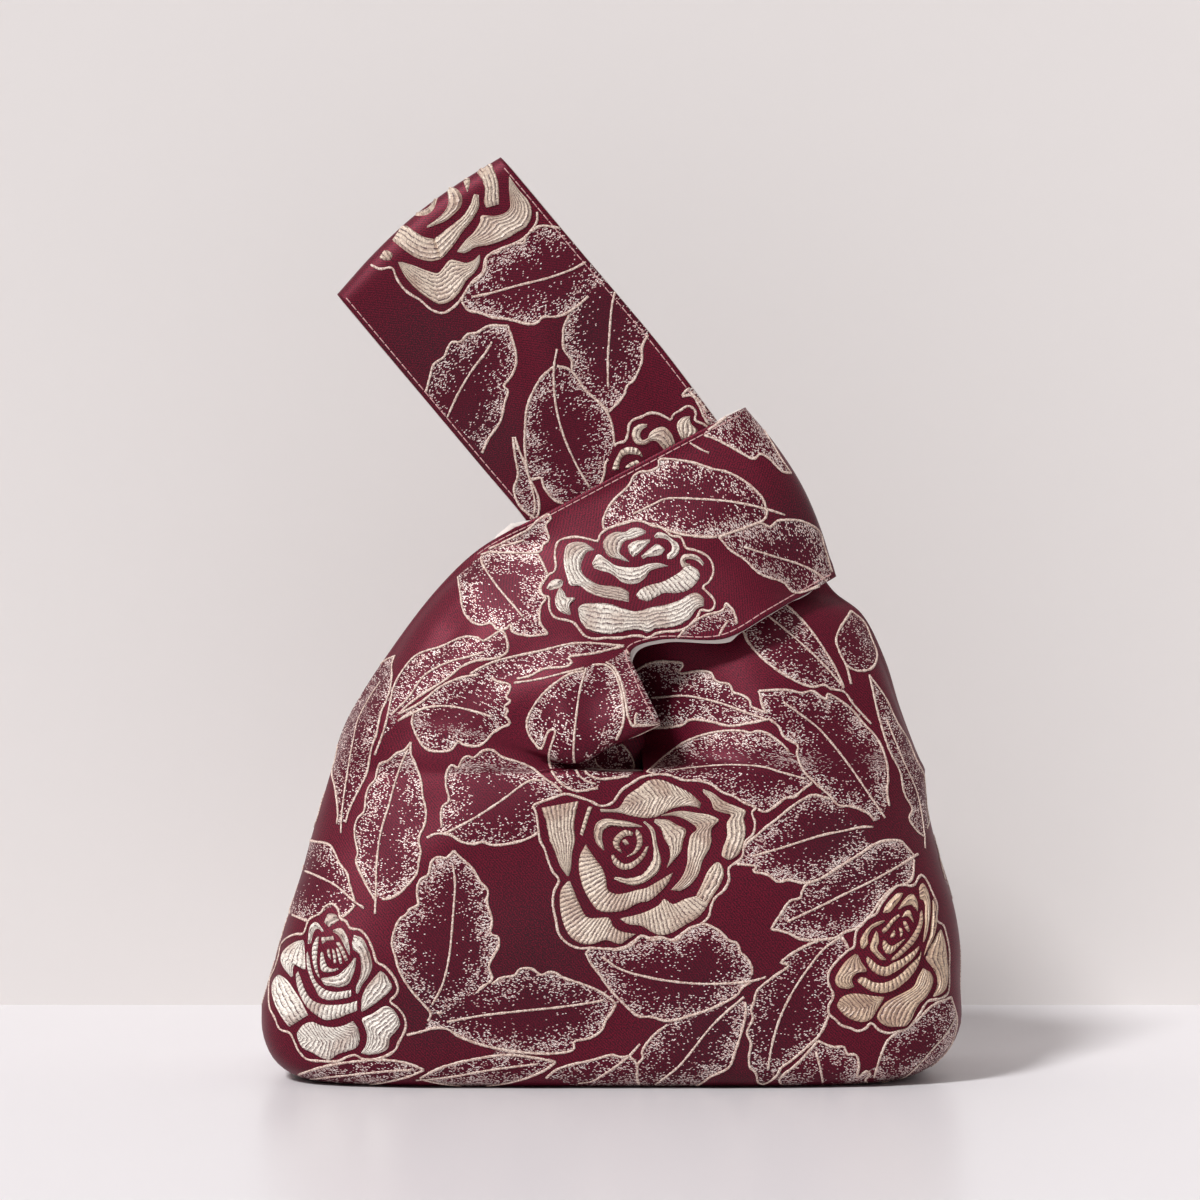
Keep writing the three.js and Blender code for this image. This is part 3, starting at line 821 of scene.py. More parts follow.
LEFT_ROSE = {
    "petals": (
        ("along", (324, 922, 328, 914, 336, 914), (329, 927, 334, 924, 339, 920)),
        ("along", (308, 944, 309, 932, 311, 925, 316, 922, 324, 931),
         (311, 943, 313, 934, 316, 929, 319, 929, 322, 932)),
        ("along", (333, 930, 341, 928, 346, 934, 349, 944, 350, 955),
         (333, 932, 338, 935, 342, 941, 346, 949, 349, 955)),
        ("across", (321, 937, 327, 937, 333, 936), (322, 945, 326, 941, 334, 940)),
        ("across", (317, 937, 313, 945, 312, 952, 313, 963, 316, 973, 319, 978),
         (319, 936, 318, 945, 317, 955, 317, 963, 318, 971, 320, 977)),
        ("across", (321, 952, 320, 962, 322, 971, 331, 972, 338, 970),
         (323, 952, 325, 961, 328, 967, 333, 969, 338, 968)),
        ("across", (327, 950, 328, 956, 330, 959), (329, 948, 330, 953, 331, 959)),
        ("across", (332, 949, 333, 956, 334, 963), (334, 949, 336, 956, 336, 963)),
        ("across", (336, 948, 338, 957, 340, 964), (338, 948, 341, 956, 342, 963)),
        ("across", (336, 943, 341, 952, 345, 961), (339, 941, 344, 950, 348, 960)),
        ("along", (321, 979, 325, 985, 332, 986, 340, 987, 348, 984, 352, 977, 355, 968, 356, 958),
         (322, 978, 330, 977, 338, 975, 344, 970, 350, 964, 354, 958)),
        ("across", (307, 951, 307, 965, 310, 977, 315, 988, 320, 997, 328, 1000, 340, 999, 351, 997),
         (309, 955, 311, 968, 315, 980, 320, 986, 326, 990, 335, 992, 351, 990)),
        ("across", (296, 974, 297, 985, 301, 997, 307, 1007, 316, 1015, 326, 1020, 338, 1018, 348, 1014,
          357, 1011),
         (298, 971, 301, 979, 305, 990, 311, 999, 318, 1003, 330, 1005, 345, 1004, 357, 1001)),
        ("along", (354, 935, 362, 938, 367, 947, 371, 958, 372, 967, 368, 977, 362, 985, 358, 994),
         (352, 943, 353, 949, 359, 954, 361, 962, 361, 972, 359, 980, 356, 987, 356, 993)),
        ("along", (291, 977, 284, 968, 281, 960, 283, 952, 290, 945, 298, 941, 303, 940),
         (293, 976, 293, 968, 297, 963, 302, 966, 305, 970, 305, 957, 304, 942)),
        ("along", (278, 975, 273, 982, 272, 992, 275, 1004, 281, 1016, 289, 1027),
         (280, 975, 287, 980, 294, 990, 301, 1001, 308, 1015)),
        ("along", (361, 1010, 362, 998, 366, 988, 372, 980, 380, 971),
         (362, 1012, 372, 1006, 381, 999, 388, 993, 392, 987, 389, 979, 383, 972)),
        ("chevron", (297, 1033, 303, 1025, 312, 1022, 320, 1025, 328, 1027, 337, 1027, 345, 1025, 353, 1021),
         (298, 1038, 303, 1048, 313, 1053, 322, 1058, 329, 1060, 338, 1054, 348, 1051, 357, 1047, 360, 1038,
          358, 1028)),
        ("along", (361, 1053, 366, 1045, 367, 1034, 364, 1025, 362, 1019, 372, 1014, 386, 1006, 394, 1010),
         (368, 1055, 380, 1053, 388, 1048, 390, 1038, 396, 1031, 400, 1025, 399, 1018)),
    ),
    "contour": (
        320, 914, 326, 906, 333, 904, 338, 909, 341, 919, 346, 921, 350, 928, 360, 930, 367, 937, 373, 950,
        377, 962, 384, 966, 391, 973, 396, 981, 398, 990, 395, 996, 390, 1001, 398, 1008, 404, 1016,
        406, 1026, 403, 1035, 399, 1042, 396, 1049, 388, 1055, 375, 1059, 363, 1059, 355, 1055, 347, 1057,
        338, 1061, 322, 1061, 307, 1059, 299, 1051, 293, 1038, 290, 1033, 280, 1029, 275, 1018, 270, 1008,
        269, 994, 270, 980, 275, 968, 279, 955, 281, 945, 287, 938, 297, 934, 303, 934, 306, 928, 309, 920,
        315, 916,
    ),
}
BAND_ROSE = {
    "petals": (
        ("along", (646, 531, 640, 528, 632, 528, 625, 532, 615, 532, 606, 537, 603, 544, 605, 551, 610, 557,
          618, 559, 629, 562),
         (646, 533, 640, 536, 632, 539, 625, 541, 621, 547, 620, 553, 624, 557, 629, 561)),
        ("along", (629, 552, 628, 546, 635, 541, 643, 540, 650, 539),
         (633, 557, 637, 555, 643, 549, 650, 542)),
        ("along", (641, 556, 647, 551, 652, 547, 657, 544, 663, 547),
         (643, 559, 648, 557, 656, 556, 662, 554, 665, 550)),
        ("along", (654, 536, 658, 532, 666, 534, 672, 539, 678, 543, 680, 549, 677, 555, 672, 559),
         (655, 538, 661, 538, 668, 540, 672, 546, 671, 551, 667, 555, 667, 559)),
        ("along", (592, 563, 598, 554, 606, 559, 615, 565, 625, 567, 638, 567, 648, 564, 658, 563, 669, 566),
         (594, 568, 602, 571, 610, 573, 616, 577, 622, 582, 630, 584, 638, 583, 645, 578, 650, 571, 658, 568,
          668, 566)),
        ("along", (594, 549, 585, 543, 575, 542, 567, 545, 564, 555, 564, 565, 567, 577, 570, 585, 580, 586,
          588, 592, 598, 596, 612, 599, 629, 602),
         (594, 550, 587, 552, 583, 559, 581, 566, 583, 574, 590, 580, 600, 585, 612, 586, 622, 588,
          629, 592)),
        ("across", (636, 595, 641, 589, 650, 585, 662, 582, 672, 577, 681, 571, 686, 566, 692, 566),
         (639, 599, 648, 601, 656, 597, 664, 593, 676, 593, 688, 590, 697, 582, 700, 575, 698, 570)),
        ("along", (690, 567, 683, 568, 680, 561, 683, 555, 692, 554, 699, 557, 704, 563),
         (690, 564, 686, 563, 685, 560, 690, 559, 697, 561, 703, 566)),
        ("along", (578, 608, 583, 604, 595, 603, 610, 604, 622, 608, 634, 611, 643, 610, 652, 607, 665, 605,
          680, 600, 690, 594, 698, 593, 704, 598),
         (579, 616, 582, 624, 588, 630, 596, 633, 610, 634, 622, 632, 632, 630, 640, 630, 648, 633, 655, 629,
          668, 628, 680, 625, 690, 618, 696, 610, 704, 606)),
        ("along", (546, 588, 550, 582, 556, 579, 562, 580), (550, 590, 556, 589, 562, 586, 563, 581)),
        ("along", (560, 587, 557, 592, 555, 600, 557, 608, 563, 613, 570, 615),
         (561, 588, 565, 593, 568, 598, 576, 598, 570, 605, 571, 614)),
    ),
    "contour": (
        541, 587, 545, 580, 550, 574, 554, 572, 556, 566, 555, 556, 556, 547, 559, 541, 567, 538, 577, 537,
        588, 539, 598, 541, 600, 535, 606, 530, 615, 526, 624, 524, 634, 521, 644, 522, 652, 526, 660, 527,
        667, 532, 672, 536, 680, 537, 683, 541, 686, 548, 694, 550, 702, 553, 709, 558, 713, 566, 713, 574,
        709, 582, 703, 587, 707, 592, 712, 597, 715, 603, 713, 609, 708, 611, 701, 610, 698, 616, 693, 622,
        686, 628, 676, 631, 663, 632, 655, 634, 648, 638, 641, 636, 632, 636, 620, 638, 605, 638, 595, 639,
        585, 636, 579, 629, 574, 623, 565, 620, 556, 618, 551, 613, 549, 604, 549, 597, 544, 596, 541, 592,
    ),
}
RIGHT_ROSE = {
    "petals": (
        ("along", (883, 912, 886, 905, 892, 898, 898, 893, 903, 893),
         (884, 913, 890, 912, 894, 907, 899, 901, 903, 894)),
        ("along", (898, 909, 903, 901, 909, 895, 913, 894, 917, 901, 918, 911),
         (900, 909, 905, 906, 910, 905, 914, 907, 917, 911)),
        ("along", (919, 888, 922, 883, 926, 888, 929, 897, 930, 908, 929, 920, 927, 933, 924, 942),
         (920, 899, 923, 900, 925, 905, 925, 915, 925, 925, 924, 934, 923, 942)),
        ("along", (934, 898, 936, 908, 937, 920, 935, 933, 931, 943, 926, 952, 924, 956),
         (932, 901, 932, 912, 931, 925, 930, 935, 927, 944, 924, 955)),
        ("along", (902, 917, 906, 911, 909, 910, 912, 916, 914, 923),
         (904, 917, 907, 916, 910, 918, 913, 922)),
        ("across", (903, 922, 905, 928, 908, 932), (905, 920, 908, 925, 910, 931)),
        ("across", (890, 937, 892, 933, 894, 930), (893, 938, 895, 936, 895, 931)),
        ("across", (899, 928, 900, 933, 900, 937), (901, 927, 903, 932, 902, 936)),
        ("across", (882, 930, 887, 925, 893, 918, 899, 914), (883, 934, 888, 930, 894, 922, 900, 916)),
        ("along", (885, 920, 877, 922, 870, 926, 863, 934, 860, 941, 861, 948),
         (883, 923, 877, 926, 872, 929, 868, 937, 868, 944, 863, 949)),
        ("along", (876, 931, 872, 940, 870, 948, 875, 955, 881, 960, 886, 960),
         (878, 933, 879, 942, 877, 948, 881, 954, 886, 959)),
        ("across", (883, 941, 883, 948, 887, 954, 892, 953, 898, 947, 906, 938),
         (885, 940, 888, 944, 892, 946, 898, 943, 904, 939)),
        ("across", (922, 910, 923, 920, 920, 932, 914, 943, 905, 952, 898, 958, 891, 961),
         (920, 912, 919, 922, 915, 931, 909, 940, 902, 948, 896, 954, 891, 959)),
        ("across", (866, 960, 870, 968, 877, 974, 886, 976, 895, 972, 905, 965, 914, 957, 919, 949),
         (867, 956, 872, 960, 878, 965, 886, 967, 893, 963, 902, 959, 912, 952, 919, 946)),
        ("across", (857, 981, 863, 986, 871, 991, 881, 993, 892, 991, 903, 984, 912, 975, 918, 965,
          921, 952),
         (860, 977, 866, 978, 873, 982, 882, 983, 892, 980, 902, 973, 911, 964, 919, 956, 921, 950)),
        ("along", (855, 954, 847, 960, 840, 969, 835, 980, 838, 987, 848, 989),
         (858, 955, 862, 963, 867, 971, 857, 973, 852, 979, 854, 987)),
        ("chevron", (837, 1005, 841, 998, 850, 994, 862, 994, 873, 996, 884, 997),
         (838, 1008, 844, 1015, 853, 1020, 863, 1022, 871, 1019, 877, 1010, 884, 998)),
        ("along", (923, 968, 918, 977, 914, 986, 905, 992, 895, 997, 885, 1003, 879, 1011, 877, 1018,
          884, 1025, 892, 1027),
         (930, 972, 933, 979, 931, 988, 926, 997, 919, 1004, 915, 1011, 911, 1020, 905, 1026, 900, 1025)),
        ("along", (941, 929, 945, 942, 947, 958, 948, 974, 946, 988, 941, 994, 934, 997),
         (939, 931, 933, 941, 927, 953, 926, 959, 932, 967, 937, 977, 937, 986, 933, 996)),
    ),
    "contour": (
        915, 884, 918, 878, 921, 875, 924, 877, 928, 883, 931, 890, 937, 905, 937, 921, 943, 925, 946, 934,
        949, 950, 949, 970, 949, 985, 947, 994, 938, 999, 928, 1001, 924, 1006, 920, 1013, 915, 1020,
        908, 1028, 899, 1031, 888, 1033, 879, 1030, 871, 1023, 866, 1028, 858, 1031, 850, 1028, 841, 1025,
        835, 1019, 829, 1014, 829, 1005, 833, 998, 833, 993, 829, 985, 828, 977, 830, 970, 836, 962,
        842, 956, 849, 950, 854, 947, 855, 938, 857, 930, 862, 925, 868, 918, 876, 914, 880, 906, 886, 897,
        892, 890, 897, 886, 904, 885, 911, 886,
    ),
}
HANDLE_ROSE = {
    "drawn": 18,
    "petals": (
        ("along", (479, 195, 479, 207, 472, 220, 463, 231, 455, 243, 447, 253, 441, 259),
         (474, 194, 470, 205, 463, 216, 452, 225, 443, 232, 434, 239)),
        ("along", (441, 259, 430, 261, 415, 257, 402, 248, 392, 240),
         (434, 239, 424, 237, 414, 231, 407, 226, 402, 226)),
        ("along", (448, 187, 457, 189, 462, 197, 461, 206, 454, 214, 445, 221, 435, 225, 427, 228),
         (446, 188, 448, 196, 448, 204, 444, 212, 437, 219, 427, 226)),
        ("along", (441, 190, 437, 200, 433, 210, 426, 215, 414, 216),
         (440, 191, 434, 199, 430, 206, 422, 211, 416, 213)),
        ("along", (476, 172, 482, 180, 485, 190, 484, 202, 486, 208),
         (490, 160, 495, 172, 498, 182, 499, 193, 499, 204)),
        ("along", (509, 176, 519, 190, 529, 202, 532, 214, 527, 226, 516, 233, 504, 240, 489, 245, 476, 247,
          465, 253, 457, 252),
         (509, 190, 510, 200, 510, 208, 505, 213, 495, 216, 481, 216, 480, 222, 474, 232, 466, 240,
          458, 250)),
        ("along", (398, 262, 403, 273, 412, 285, 425, 296, 440, 304, 452, 300, 461, 290, 466, 281, 475, 272,
          480, 262, 480, 255),
         (402, 262, 415, 266, 428, 271, 438, 273, 443, 268, 450, 260, 458, 261, 466, 263, 474, 260,
          479, 255)),
        ("across", (379, 258, 385, 250, 391, 252), (383, 260, 390, 260, 393, 255)),
        ("across", (462, 178, 465, 186, 467, 192), (469, 174, 470, 182, 468, 191)),
    ),
    "contour": (
        371, 265, 380, 269, 392, 268, 397, 279, 406, 291, 420, 300, 432, 310, 443, 313, 455, 306, 463, 296,
        472, 282, 482, 273, 487, 257, 503, 248, 520, 241, 530, 232, 537, 221, 537, 212, 520, 188, 493, 156,
        460, 176, 430, 205, 400, 230, 380, 252,
    ),
}
HIDDEN_ROSE = {
    "drawn": 19,
    "petals": (
        ("along", (647, 424, 640, 424, 633, 429, 632, 437, 635, 443, 643, 445, 650, 442),
         (647, 427, 642, 430, 640, 436, 643, 440, 648, 438)),
        ("along", (648, 438, 650, 433, 657, 428, 664, 427, 671, 433, 674, 440, 676, 446),
         (650, 441, 656, 441, 661, 446, 665, 451)),
        ("along", (690, 416, 682, 418, 677, 424, 678, 431, 682, 440),
         (690, 420, 692, 425, 697, 429, 698, 434, 690, 440)),
        ("across", (612, 470, 614, 463, 618, 455, 621, 450, 630, 447, 638, 449, 643, 456),
         (619, 470, 620, 461, 625, 455, 632, 454, 638, 455, 642, 457)),
        ("across", (625, 467, 630, 463, 637, 460), (627, 469, 634, 467, 641, 464)),
    ),
    "contour": (
        614, 446, 618, 443, 625, 441, 628, 433, 629, 425, 633, 420, 641, 417, 650, 413, 659, 414, 667, 418,
        671, 420, 673, 415, 681, 410, 688, 406, 694, 409, 696, 414, 695, 420, 703, 424, 709, 428, 700, 445,
        650, 475, 612, 475, 609, 460,
    ),
}

# Leaves of the front in the photograph: strip, share of specks, both sides from foot to tip, and midrib
LEAVES = (
    ("both", 0.8, (375, 900, 365, 882, 356, 860, 358, 854, 355, 837, 355, 827, 358, 818, 364, 812, 366, 797,
      369, 787, 375, 780, 380, 764, 388, 761, 397, 753, 405, 750, 411, 742),
     (382, 899, 388, 899, 397, 895, 405, 888, 417, 873, 419, 860, 421, 852, 419, 843, 420, 835, 425, 824,
      426, 810, 423, 797, 421, 780, 415, 763, 411, 753, 411, 742),
     (375, 914, 376, 890, 377, 860, 381, 832, 389, 805, 396, 780, 403, 760, 408, 750)),
    ("left", 0.6, (346, 823, 348, 814, 353, 802, 360, 788, 367, 773, 370, 757, 372, 747, 377, 733, 379, 722,
      382, 710, 386, 702, 390, 690, 392, 676, 392, 664, 395, 656),
     (337, 824, 338, 813, 335, 787, 332, 773, 336, 757, 340, 733, 345, 720, 362, 692, 383, 662, 395, 656),
     (341, 833, 342, 813, 348, 770, 354, 737, 358, 720, 370, 697, 380, 682)),
    ("both", 0.7, (355, 902, 350, 885, 347, 873, 340, 864, 336, 855, 331, 846, 325, 843, 318, 842, 300, 840,
      280, 844, 258, 856, 240, 874),
     (355, 905, 347, 914, 330, 922, 312, 922, 291, 914, 270, 902, 252, 888, 240, 874),
     (364, 908, 355, 902, 345, 893, 335, 885, 315, 875, 302, 870, 290, 866, 270, 866)),
    ("left", 0.7, (398, 721, 413, 712, 412, 722, 415, 732, 424, 747, 432, 751, 451, 750, 456, 744, 459, 741,
      462, 744, 478, 746, 485, 742, 493, 733, 501, 728, 510, 723, 505, 716),
     (399, 714, 420, 703, 440, 687, 452, 681, 464, 677, 478, 675, 490, 676, 496, 681, 510, 685, 510, 690,
      506, 698, 511, 701, 504, 707, 508, 710, 505, 716),
     (398, 721, 413, 713, 425, 708, 440, 706, 455, 707, 480, 713, 492, 717)),
    ("both", 0.8, (442, 827, 441, 815, 443, 806, 449, 801, 446, 785, 447, 772, 452, 765, 458, 768, 462, 760,
      468, 756, 473, 758, 483, 751, 492, 750, 502, 757, 518, 762, 532, 768, 543, 777, 558, 788, 563, 795),
     (427, 838, 435, 834, 450, 835, 462, 842, 473, 844, 483, 842, 492, 845, 513, 843, 531, 837, 540, 830,
      550, 812, 563, 795),
     (443, 834, 452, 830, 478, 816, 505, 798, 518, 788, 527, 782, 533, 780, 541, 781)),
    ("both", 1.0, (428, 1021, 431, 1014, 424, 1005, 411, 990, 400, 972, 395, 955, 392, 945, 394, 932,
      400, 919, 406, 915, 410, 909, 418, 905, 417, 892, 420, 880, 428, 875, 432, 861, 438, 857, 446, 858,
      454, 851),
     (437, 1013, 447, 1013, 458, 1009, 481, 1001, 477, 994, 480, 989, 492, 979, 489, 966, 499, 945, 498, 937,
      491, 934, 492, 920, 487, 901, 488, 891, 480, 881, 472, 868, 460, 857, 454, 851),
     (432, 1005, 442, 986, 449, 958, 453, 917, 455, 881, 453, 866)),
    ("both", 0.9, (492, 984, 501, 978, 515, 975, 520, 969, 532, 969, 541, 975, 549, 972, 556, 973, 562, 977,
      579, 983, 597, 990, 611, 999, 616, 1004),
     (407, 1035, 420, 1032, 435, 1028, 447, 1029, 460, 1037, 490, 1047, 530, 1053, 560, 1053, 574, 1049,
      574, 1042, 590, 1038, 602, 1030, 606, 1020, 612, 1012, 616, 1004),
     (447, 1022, 479, 1016, 522, 1011, 561, 1007, 595, 1002, 604, 1000)),
    ("both", 1.0, (752, 975, 752, 967, 745, 956, 741, 953, 737, 943, 730, 941, 718, 930, 702, 924, 686, 931,
      675, 941, 667, 938, 651, 940, 642, 936, 630, 946, 615, 950, 603, 946, 592, 948, 586, 953),
     (751, 982, 743, 987, 737, 995, 715, 1007, 693, 1015, 667, 1021, 652, 1017, 638, 1016, 625, 1005,
      608, 987, 600, 975, 590, 962, 586, 953),
     (766, 977, 752, 981, 710, 984, 677, 982, 647, 977, 620, 969, 602, 957)),
    ("both", 0.9, (667, 1025, 653, 1036, 642, 1052, 643, 1058, 638, 1064, 637, 1078, 639, 1090),
     (745, 1002, 746, 1012, 741, 1034, 735, 1052, 729, 1067, 710, 1077, 697, 1085, 670, 1088, 655, 1091),
     (744, 997, 723, 1015, 710, 1028, 687, 1057, 677, 1068, 653, 1086)),
    ("both", 0.7, (630, 1056, 620, 1057, 612, 1055, 593, 1060, 570, 1065, 556, 1070, 546, 1078),
     (630, 1056, 637, 1065, 637, 1077, 639, 1090, 600, 1091),
     (640, 1044, 627, 1058, 603, 1075, 592, 1081, 578, 1083)),
    ("both", 0.6, (830, 937, 810, 944, 793, 953, 781, 963, 789, 965, 772, 978, 757, 991, 754, 1002,
      751, 1010, 753, 1018, 747, 1033, 751, 1043, 749, 1057, 750, 1067, 756, 1073, 758, 1082, 763, 1084),
     (842, 937, 848, 950, 833, 968, 833, 993, 829, 1014, 820, 1034, 806, 1048, 792, 1060, 781, 1068,
      777, 1075, 770, 1081, 763, 1084),
     (842, 936, 825, 948, 807, 970, 792, 993, 780, 1018, 772, 1045, 768, 1069)),
    ("both", 0.9, (780, 1091, 785, 1087, 779, 1081, 782, 1076, 798, 1063, 810, 1050, 818, 1041),
     (872, 1085, 865, 1080, 870, 1074, 867, 1071, 857, 1077, 859, 1066, 856, 1055, 847, 1054, 844, 1047,
      833, 1047, 818, 1041),
     (823, 1088, 822, 1077, 819, 1063, 816, 1052)),
    ("both", 0.9, (874, 1077, 880, 1058, 888, 1040, 900, 1031, 917, 1020, 933, 1005, 951, 997),
     (882, 1084, 910, 1080, 935, 1068, 951, 1045, 957, 1020, 951, 997),
     (882, 1082, 900, 1079, 910, 1073, 930, 1052, 950, 1028, 956, 1014)),
    ("both", 0.9, (889, 806, 887, 792, 888, 778, 886, 760, 878, 740, 863, 723, 850, 708, 827, 694, 827, 700,
      812, 691, 802, 693, 787, 690, 759, 691),
     (874, 821, 870, 815, 853, 807, 838, 805, 830, 796, 815, 783, 803, 770, 797, 753, 798, 746, 784, 737,
      779, 727, 770, 719, 763, 707, 759, 691),
     (885, 818, 868, 793, 845, 760, 820, 730, 808, 720, 783, 702)),
    ("right", 0.8, (871, 724, 853, 704, 844, 692, 831, 689, 824, 685, 814, 687, 802, 684, 780, 672, 761, 657,
      747, 640, 742, 628),
     (844, 688, 834, 666, 812, 632, 799, 617, 785, 605, 760, 600, 742, 628),
     (844, 688, 823, 664, 795, 638, 767, 615)),
    ("right", 0.5, (851, 684, 847, 668, 839, 651, 836, 640, 840, 628, 846, 619, 851, 611),
     (846, 665, 852, 669, 859, 671, 872, 668, 877, 655, 872, 640, 864, 622, 851, 611),
     (851, 684, 848, 672, 846, 665)),
    ("both", 0.7, (925, 837, 918, 832, 909, 818, 912, 810, 904, 793, 900, 772, 890, 752, 883, 732, 877, 710,
      872, 687, 869, 675),
     (927, 828, 929, 820, 927, 800, 925, 778, 915, 757, 908, 740, 897, 722, 885, 697, 869, 675),
     (925, 848, 924, 832, 917, 793, 903, 760, 890, 728, 887, 720)),
    ("both", 0.9, (789, 752, 783, 745, 766, 733, 756, 731, 751, 733, 743, 731, 716, 732, 687, 741, 665, 756,
      647, 772),
     (812, 783, 800, 792, 795, 797, 786, 798, 773, 808, 765, 812, 752, 806, 700, 786, 647, 772),
     (806, 779, 780, 772, 763, 767, 730, 765, 690, 768, 668, 771)),
    ("both", 1.0, (830, 799, 823, 797, 813, 795, 800, 801, 785, 812, 778, 818, 765, 828, 755, 837, 748, 842,
      742, 852, 737, 864),
     (872, 845, 860, 854, 840, 867, 822, 878, 803, 883, 788, 880, 778, 882, 768, 875, 753, 871, 757, 867,
      737, 864),
     (873, 827, 863, 827, 843, 831, 823, 835, 800, 842, 778, 849, 753, 856)),
    ("both", 1.0, (915, 857, 905, 845, 900, 841, 880, 842, 860, 854, 836, 869, 822, 878, 806, 885, 802, 892,
      800, 898, 790, 901, 780, 915, 771, 929),
     (914, 860, 911, 880, 890, 890, 868, 918, 857, 928, 845, 932, 837, 937, 818, 940, 800, 939, 788, 933,
      771, 929),
     (918, 854, 897, 867, 870, 882, 845, 894, 823, 905, 787, 922)),
    ("right", 0.9, (768, 713, 761, 711, 751, 706, 750, 701, 742, 695, 733, 692, 730, 685, 716, 681, 711, 673,
      700, 671, 679, 673, 683, 664, 674, 662, 650, 663, 630, 675),
     (770, 719, 750, 723, 729, 726, 712, 722, 690, 720, 683, 725, 657, 728, 636, 727, 630, 675),
     (768, 720, 750, 714, 723, 704, 704, 699, 685, 696, 651, 698)),
    ("left", 0.9, (737, 624, 735, 615, 732, 609, 726, 603),
     (653, 645, 661, 643, 671, 640, 678, 637, 687, 627, 704, 616, 723, 610, 726, 603),
     (719, 636, 723, 628, 728, 621)),
    ("left", 0.9, (458, 577, 461, 598, 463, 609, 467, 617, 474, 623, 483, 625, 491, 623, 497, 629, 506, 629,
      511, 624, 512, 631, 528, 636, 548, 634),
     (481, 555, 492, 551, 505, 551, 514, 553, 532, 551, 538, 555, 546, 571, 548, 576, 541, 584, 540, 593,
      546, 598, 541, 606, 540, 622, 548, 634),
     (481, 557, 482, 563, 497, 586, 514, 606, 523, 617)),
    ("left", 0.9, (489, 549, 498, 545, 520, 534, 529, 529, 538, 520, 548, 514),
     (489, 552, 514, 553, 541, 551, 543, 545, 549, 540, 546, 525, 551, 518, 548, 514),
     (500, 547, 515, 543, 524, 540)),
    ("left", 1.0, (766, 508, 763, 499, 757, 492, 747, 483, 727, 472, 713, 469, 690, 462, 659, 460, 659, 466,
      650, 471, 640, 472, 633, 477, 630, 484, 613, 501, 606, 512, 603, 522, 604, 530),
     (767, 510, 766, 517, 759, 523, 742, 529, 731, 535, 704, 537, 676, 533, 656, 526, 633, 521, 604, 530),
     (785, 515, 766, 509, 733, 502, 697, 499, 665, 499, 654, 504, 633, 514)),
    ("left", 1.0, (832, 572, 824, 546, 819, 531, 801, 521, 788, 520, 777, 521, 770, 527, 761, 523, 742, 529,
      719, 537),
     (827, 583, 797, 593, 790, 590, 784, 583, 760, 574, 745, 560, 729, 549, 719, 537),
     (829, 583, 815, 572, 801, 565, 769, 555, 744, 547)),
    ("left", 0.9, (704, 435, 715, 439, 738, 451, 754, 459, 760, 454, 768, 458, 776, 466, 783, 472, 791, 473),
     (708, 430, 745, 408, 757, 420, 770, 440, 782, 460, 791, 473),
     (690, 443, 700, 449, 709, 453)),
    ("right", 0.8, (682, 396, 687, 390, 697, 387, 705, 392, 715, 408, 723, 420),
     (682, 396, 693, 396, 699, 406, 704, 417, 709, 425),
     (690, 392, 700, 402, 707, 412)),
    ("right", 0.9, (560, 228, 540, 226, 532, 231, 526, 236, 524, 243, 515, 243, 503, 247, 499, 252, 488, 255,
      485, 270, 478, 279, 465, 289, 462, 302),
     (605, 278, 598, 288, 592, 293, 576, 307, 565, 314, 554, 317, 543, 317, 537, 323, 528, 324, 507, 319,
      495, 318, 480, 313, 468, 310, 462, 302),
     (586, 262, 573, 269, 548, 278, 516, 286, 491, 293, 472, 297)),
    ("right", 0.9, (569, 316, 564, 326, 563, 338, 564, 350, 572, 361, 572, 371, 583, 389, 600, 403,
      609, 412),
     (622, 262, 660, 318, 650, 332, 642, 347, 642, 360, 637, 374, 633, 381, 627, 386, 624, 395, 609, 412),
     (615, 292, 612, 305, 609, 341, 608, 357, 608, 387)),
    ("right", 0.9, (426, 392, 430, 377, 434, 364, 444, 357, 448, 348, 452, 342, 460, 342, 468, 334, 476, 333,
      489, 326, 508, 326),
     (482, 453, 489, 438, 500, 422, 505, 402, 508, 390, 504, 387, 512, 375, 516, 364, 516, 353, 512, 338,
      508, 326),
     (447, 418, 459, 392, 473, 369, 486, 352, 492, 342)),
    ("right", 0.9, (555, 366, 547, 372, 541, 378, 528, 404, 525, 430, 525, 450, 531, 479, 541, 478, 544, 487,
      553, 499, 563, 504, 590, 512),
     (557, 366, 570, 370, 586, 391, 595, 399, 609, 416, 614, 440, 613, 456, 606, 462, 604, 475, 590, 512),
     (557, 349, 554, 367, 555, 399, 562, 431, 576, 464, 590, 488)),
    ("right", 0.8, (515, 437, 519, 450, 525, 464, 529, 477, 536, 491, 539, 501, 539, 512, 536, 520),
     (513, 437, 515, 455, 518, 475, 514, 490, 520, 506, 536, 520),
     (530, 481, 533, 492, 535, 505, 534, 515)),
    ("left", 0.7, (375, 755, 385, 727, 390, 705, 393, 690, 398, 678, 414, 657, 426, 651, 440, 647, 464, 637,
      478, 638, 483, 641, 502, 631, 507, 640, 507, 652, 498, 658),
     (399, 714, 408, 705, 420, 696, 448, 678, 460, 668, 472, 662, 498, 658),
     (392, 714, 408, 698, 424, 676, 436, 668, 452, 661, 468, 657, 484, 652)),
    ("left", 0.6, (470, 674, 484, 666, 500, 660, 540, 651, 570, 644, 586, 643, 602, 644, 624, 646),
     (517, 679, 530, 676, 544, 669, 568, 666, 572, 662, 568, 658, 596, 653, 624, 646),
     (514, 683, 540, 679, 560, 674, 584, 668)),
    ("left", 0.8, (585, 671, 570, 674, 545, 692, 531, 711, 527, 722, 528, 732, 534, 742, 541, 749, 549, 731,
      555, 730, 549, 755, 551, 769, 557, 779, 566, 787, 577, 791, 598, 788),
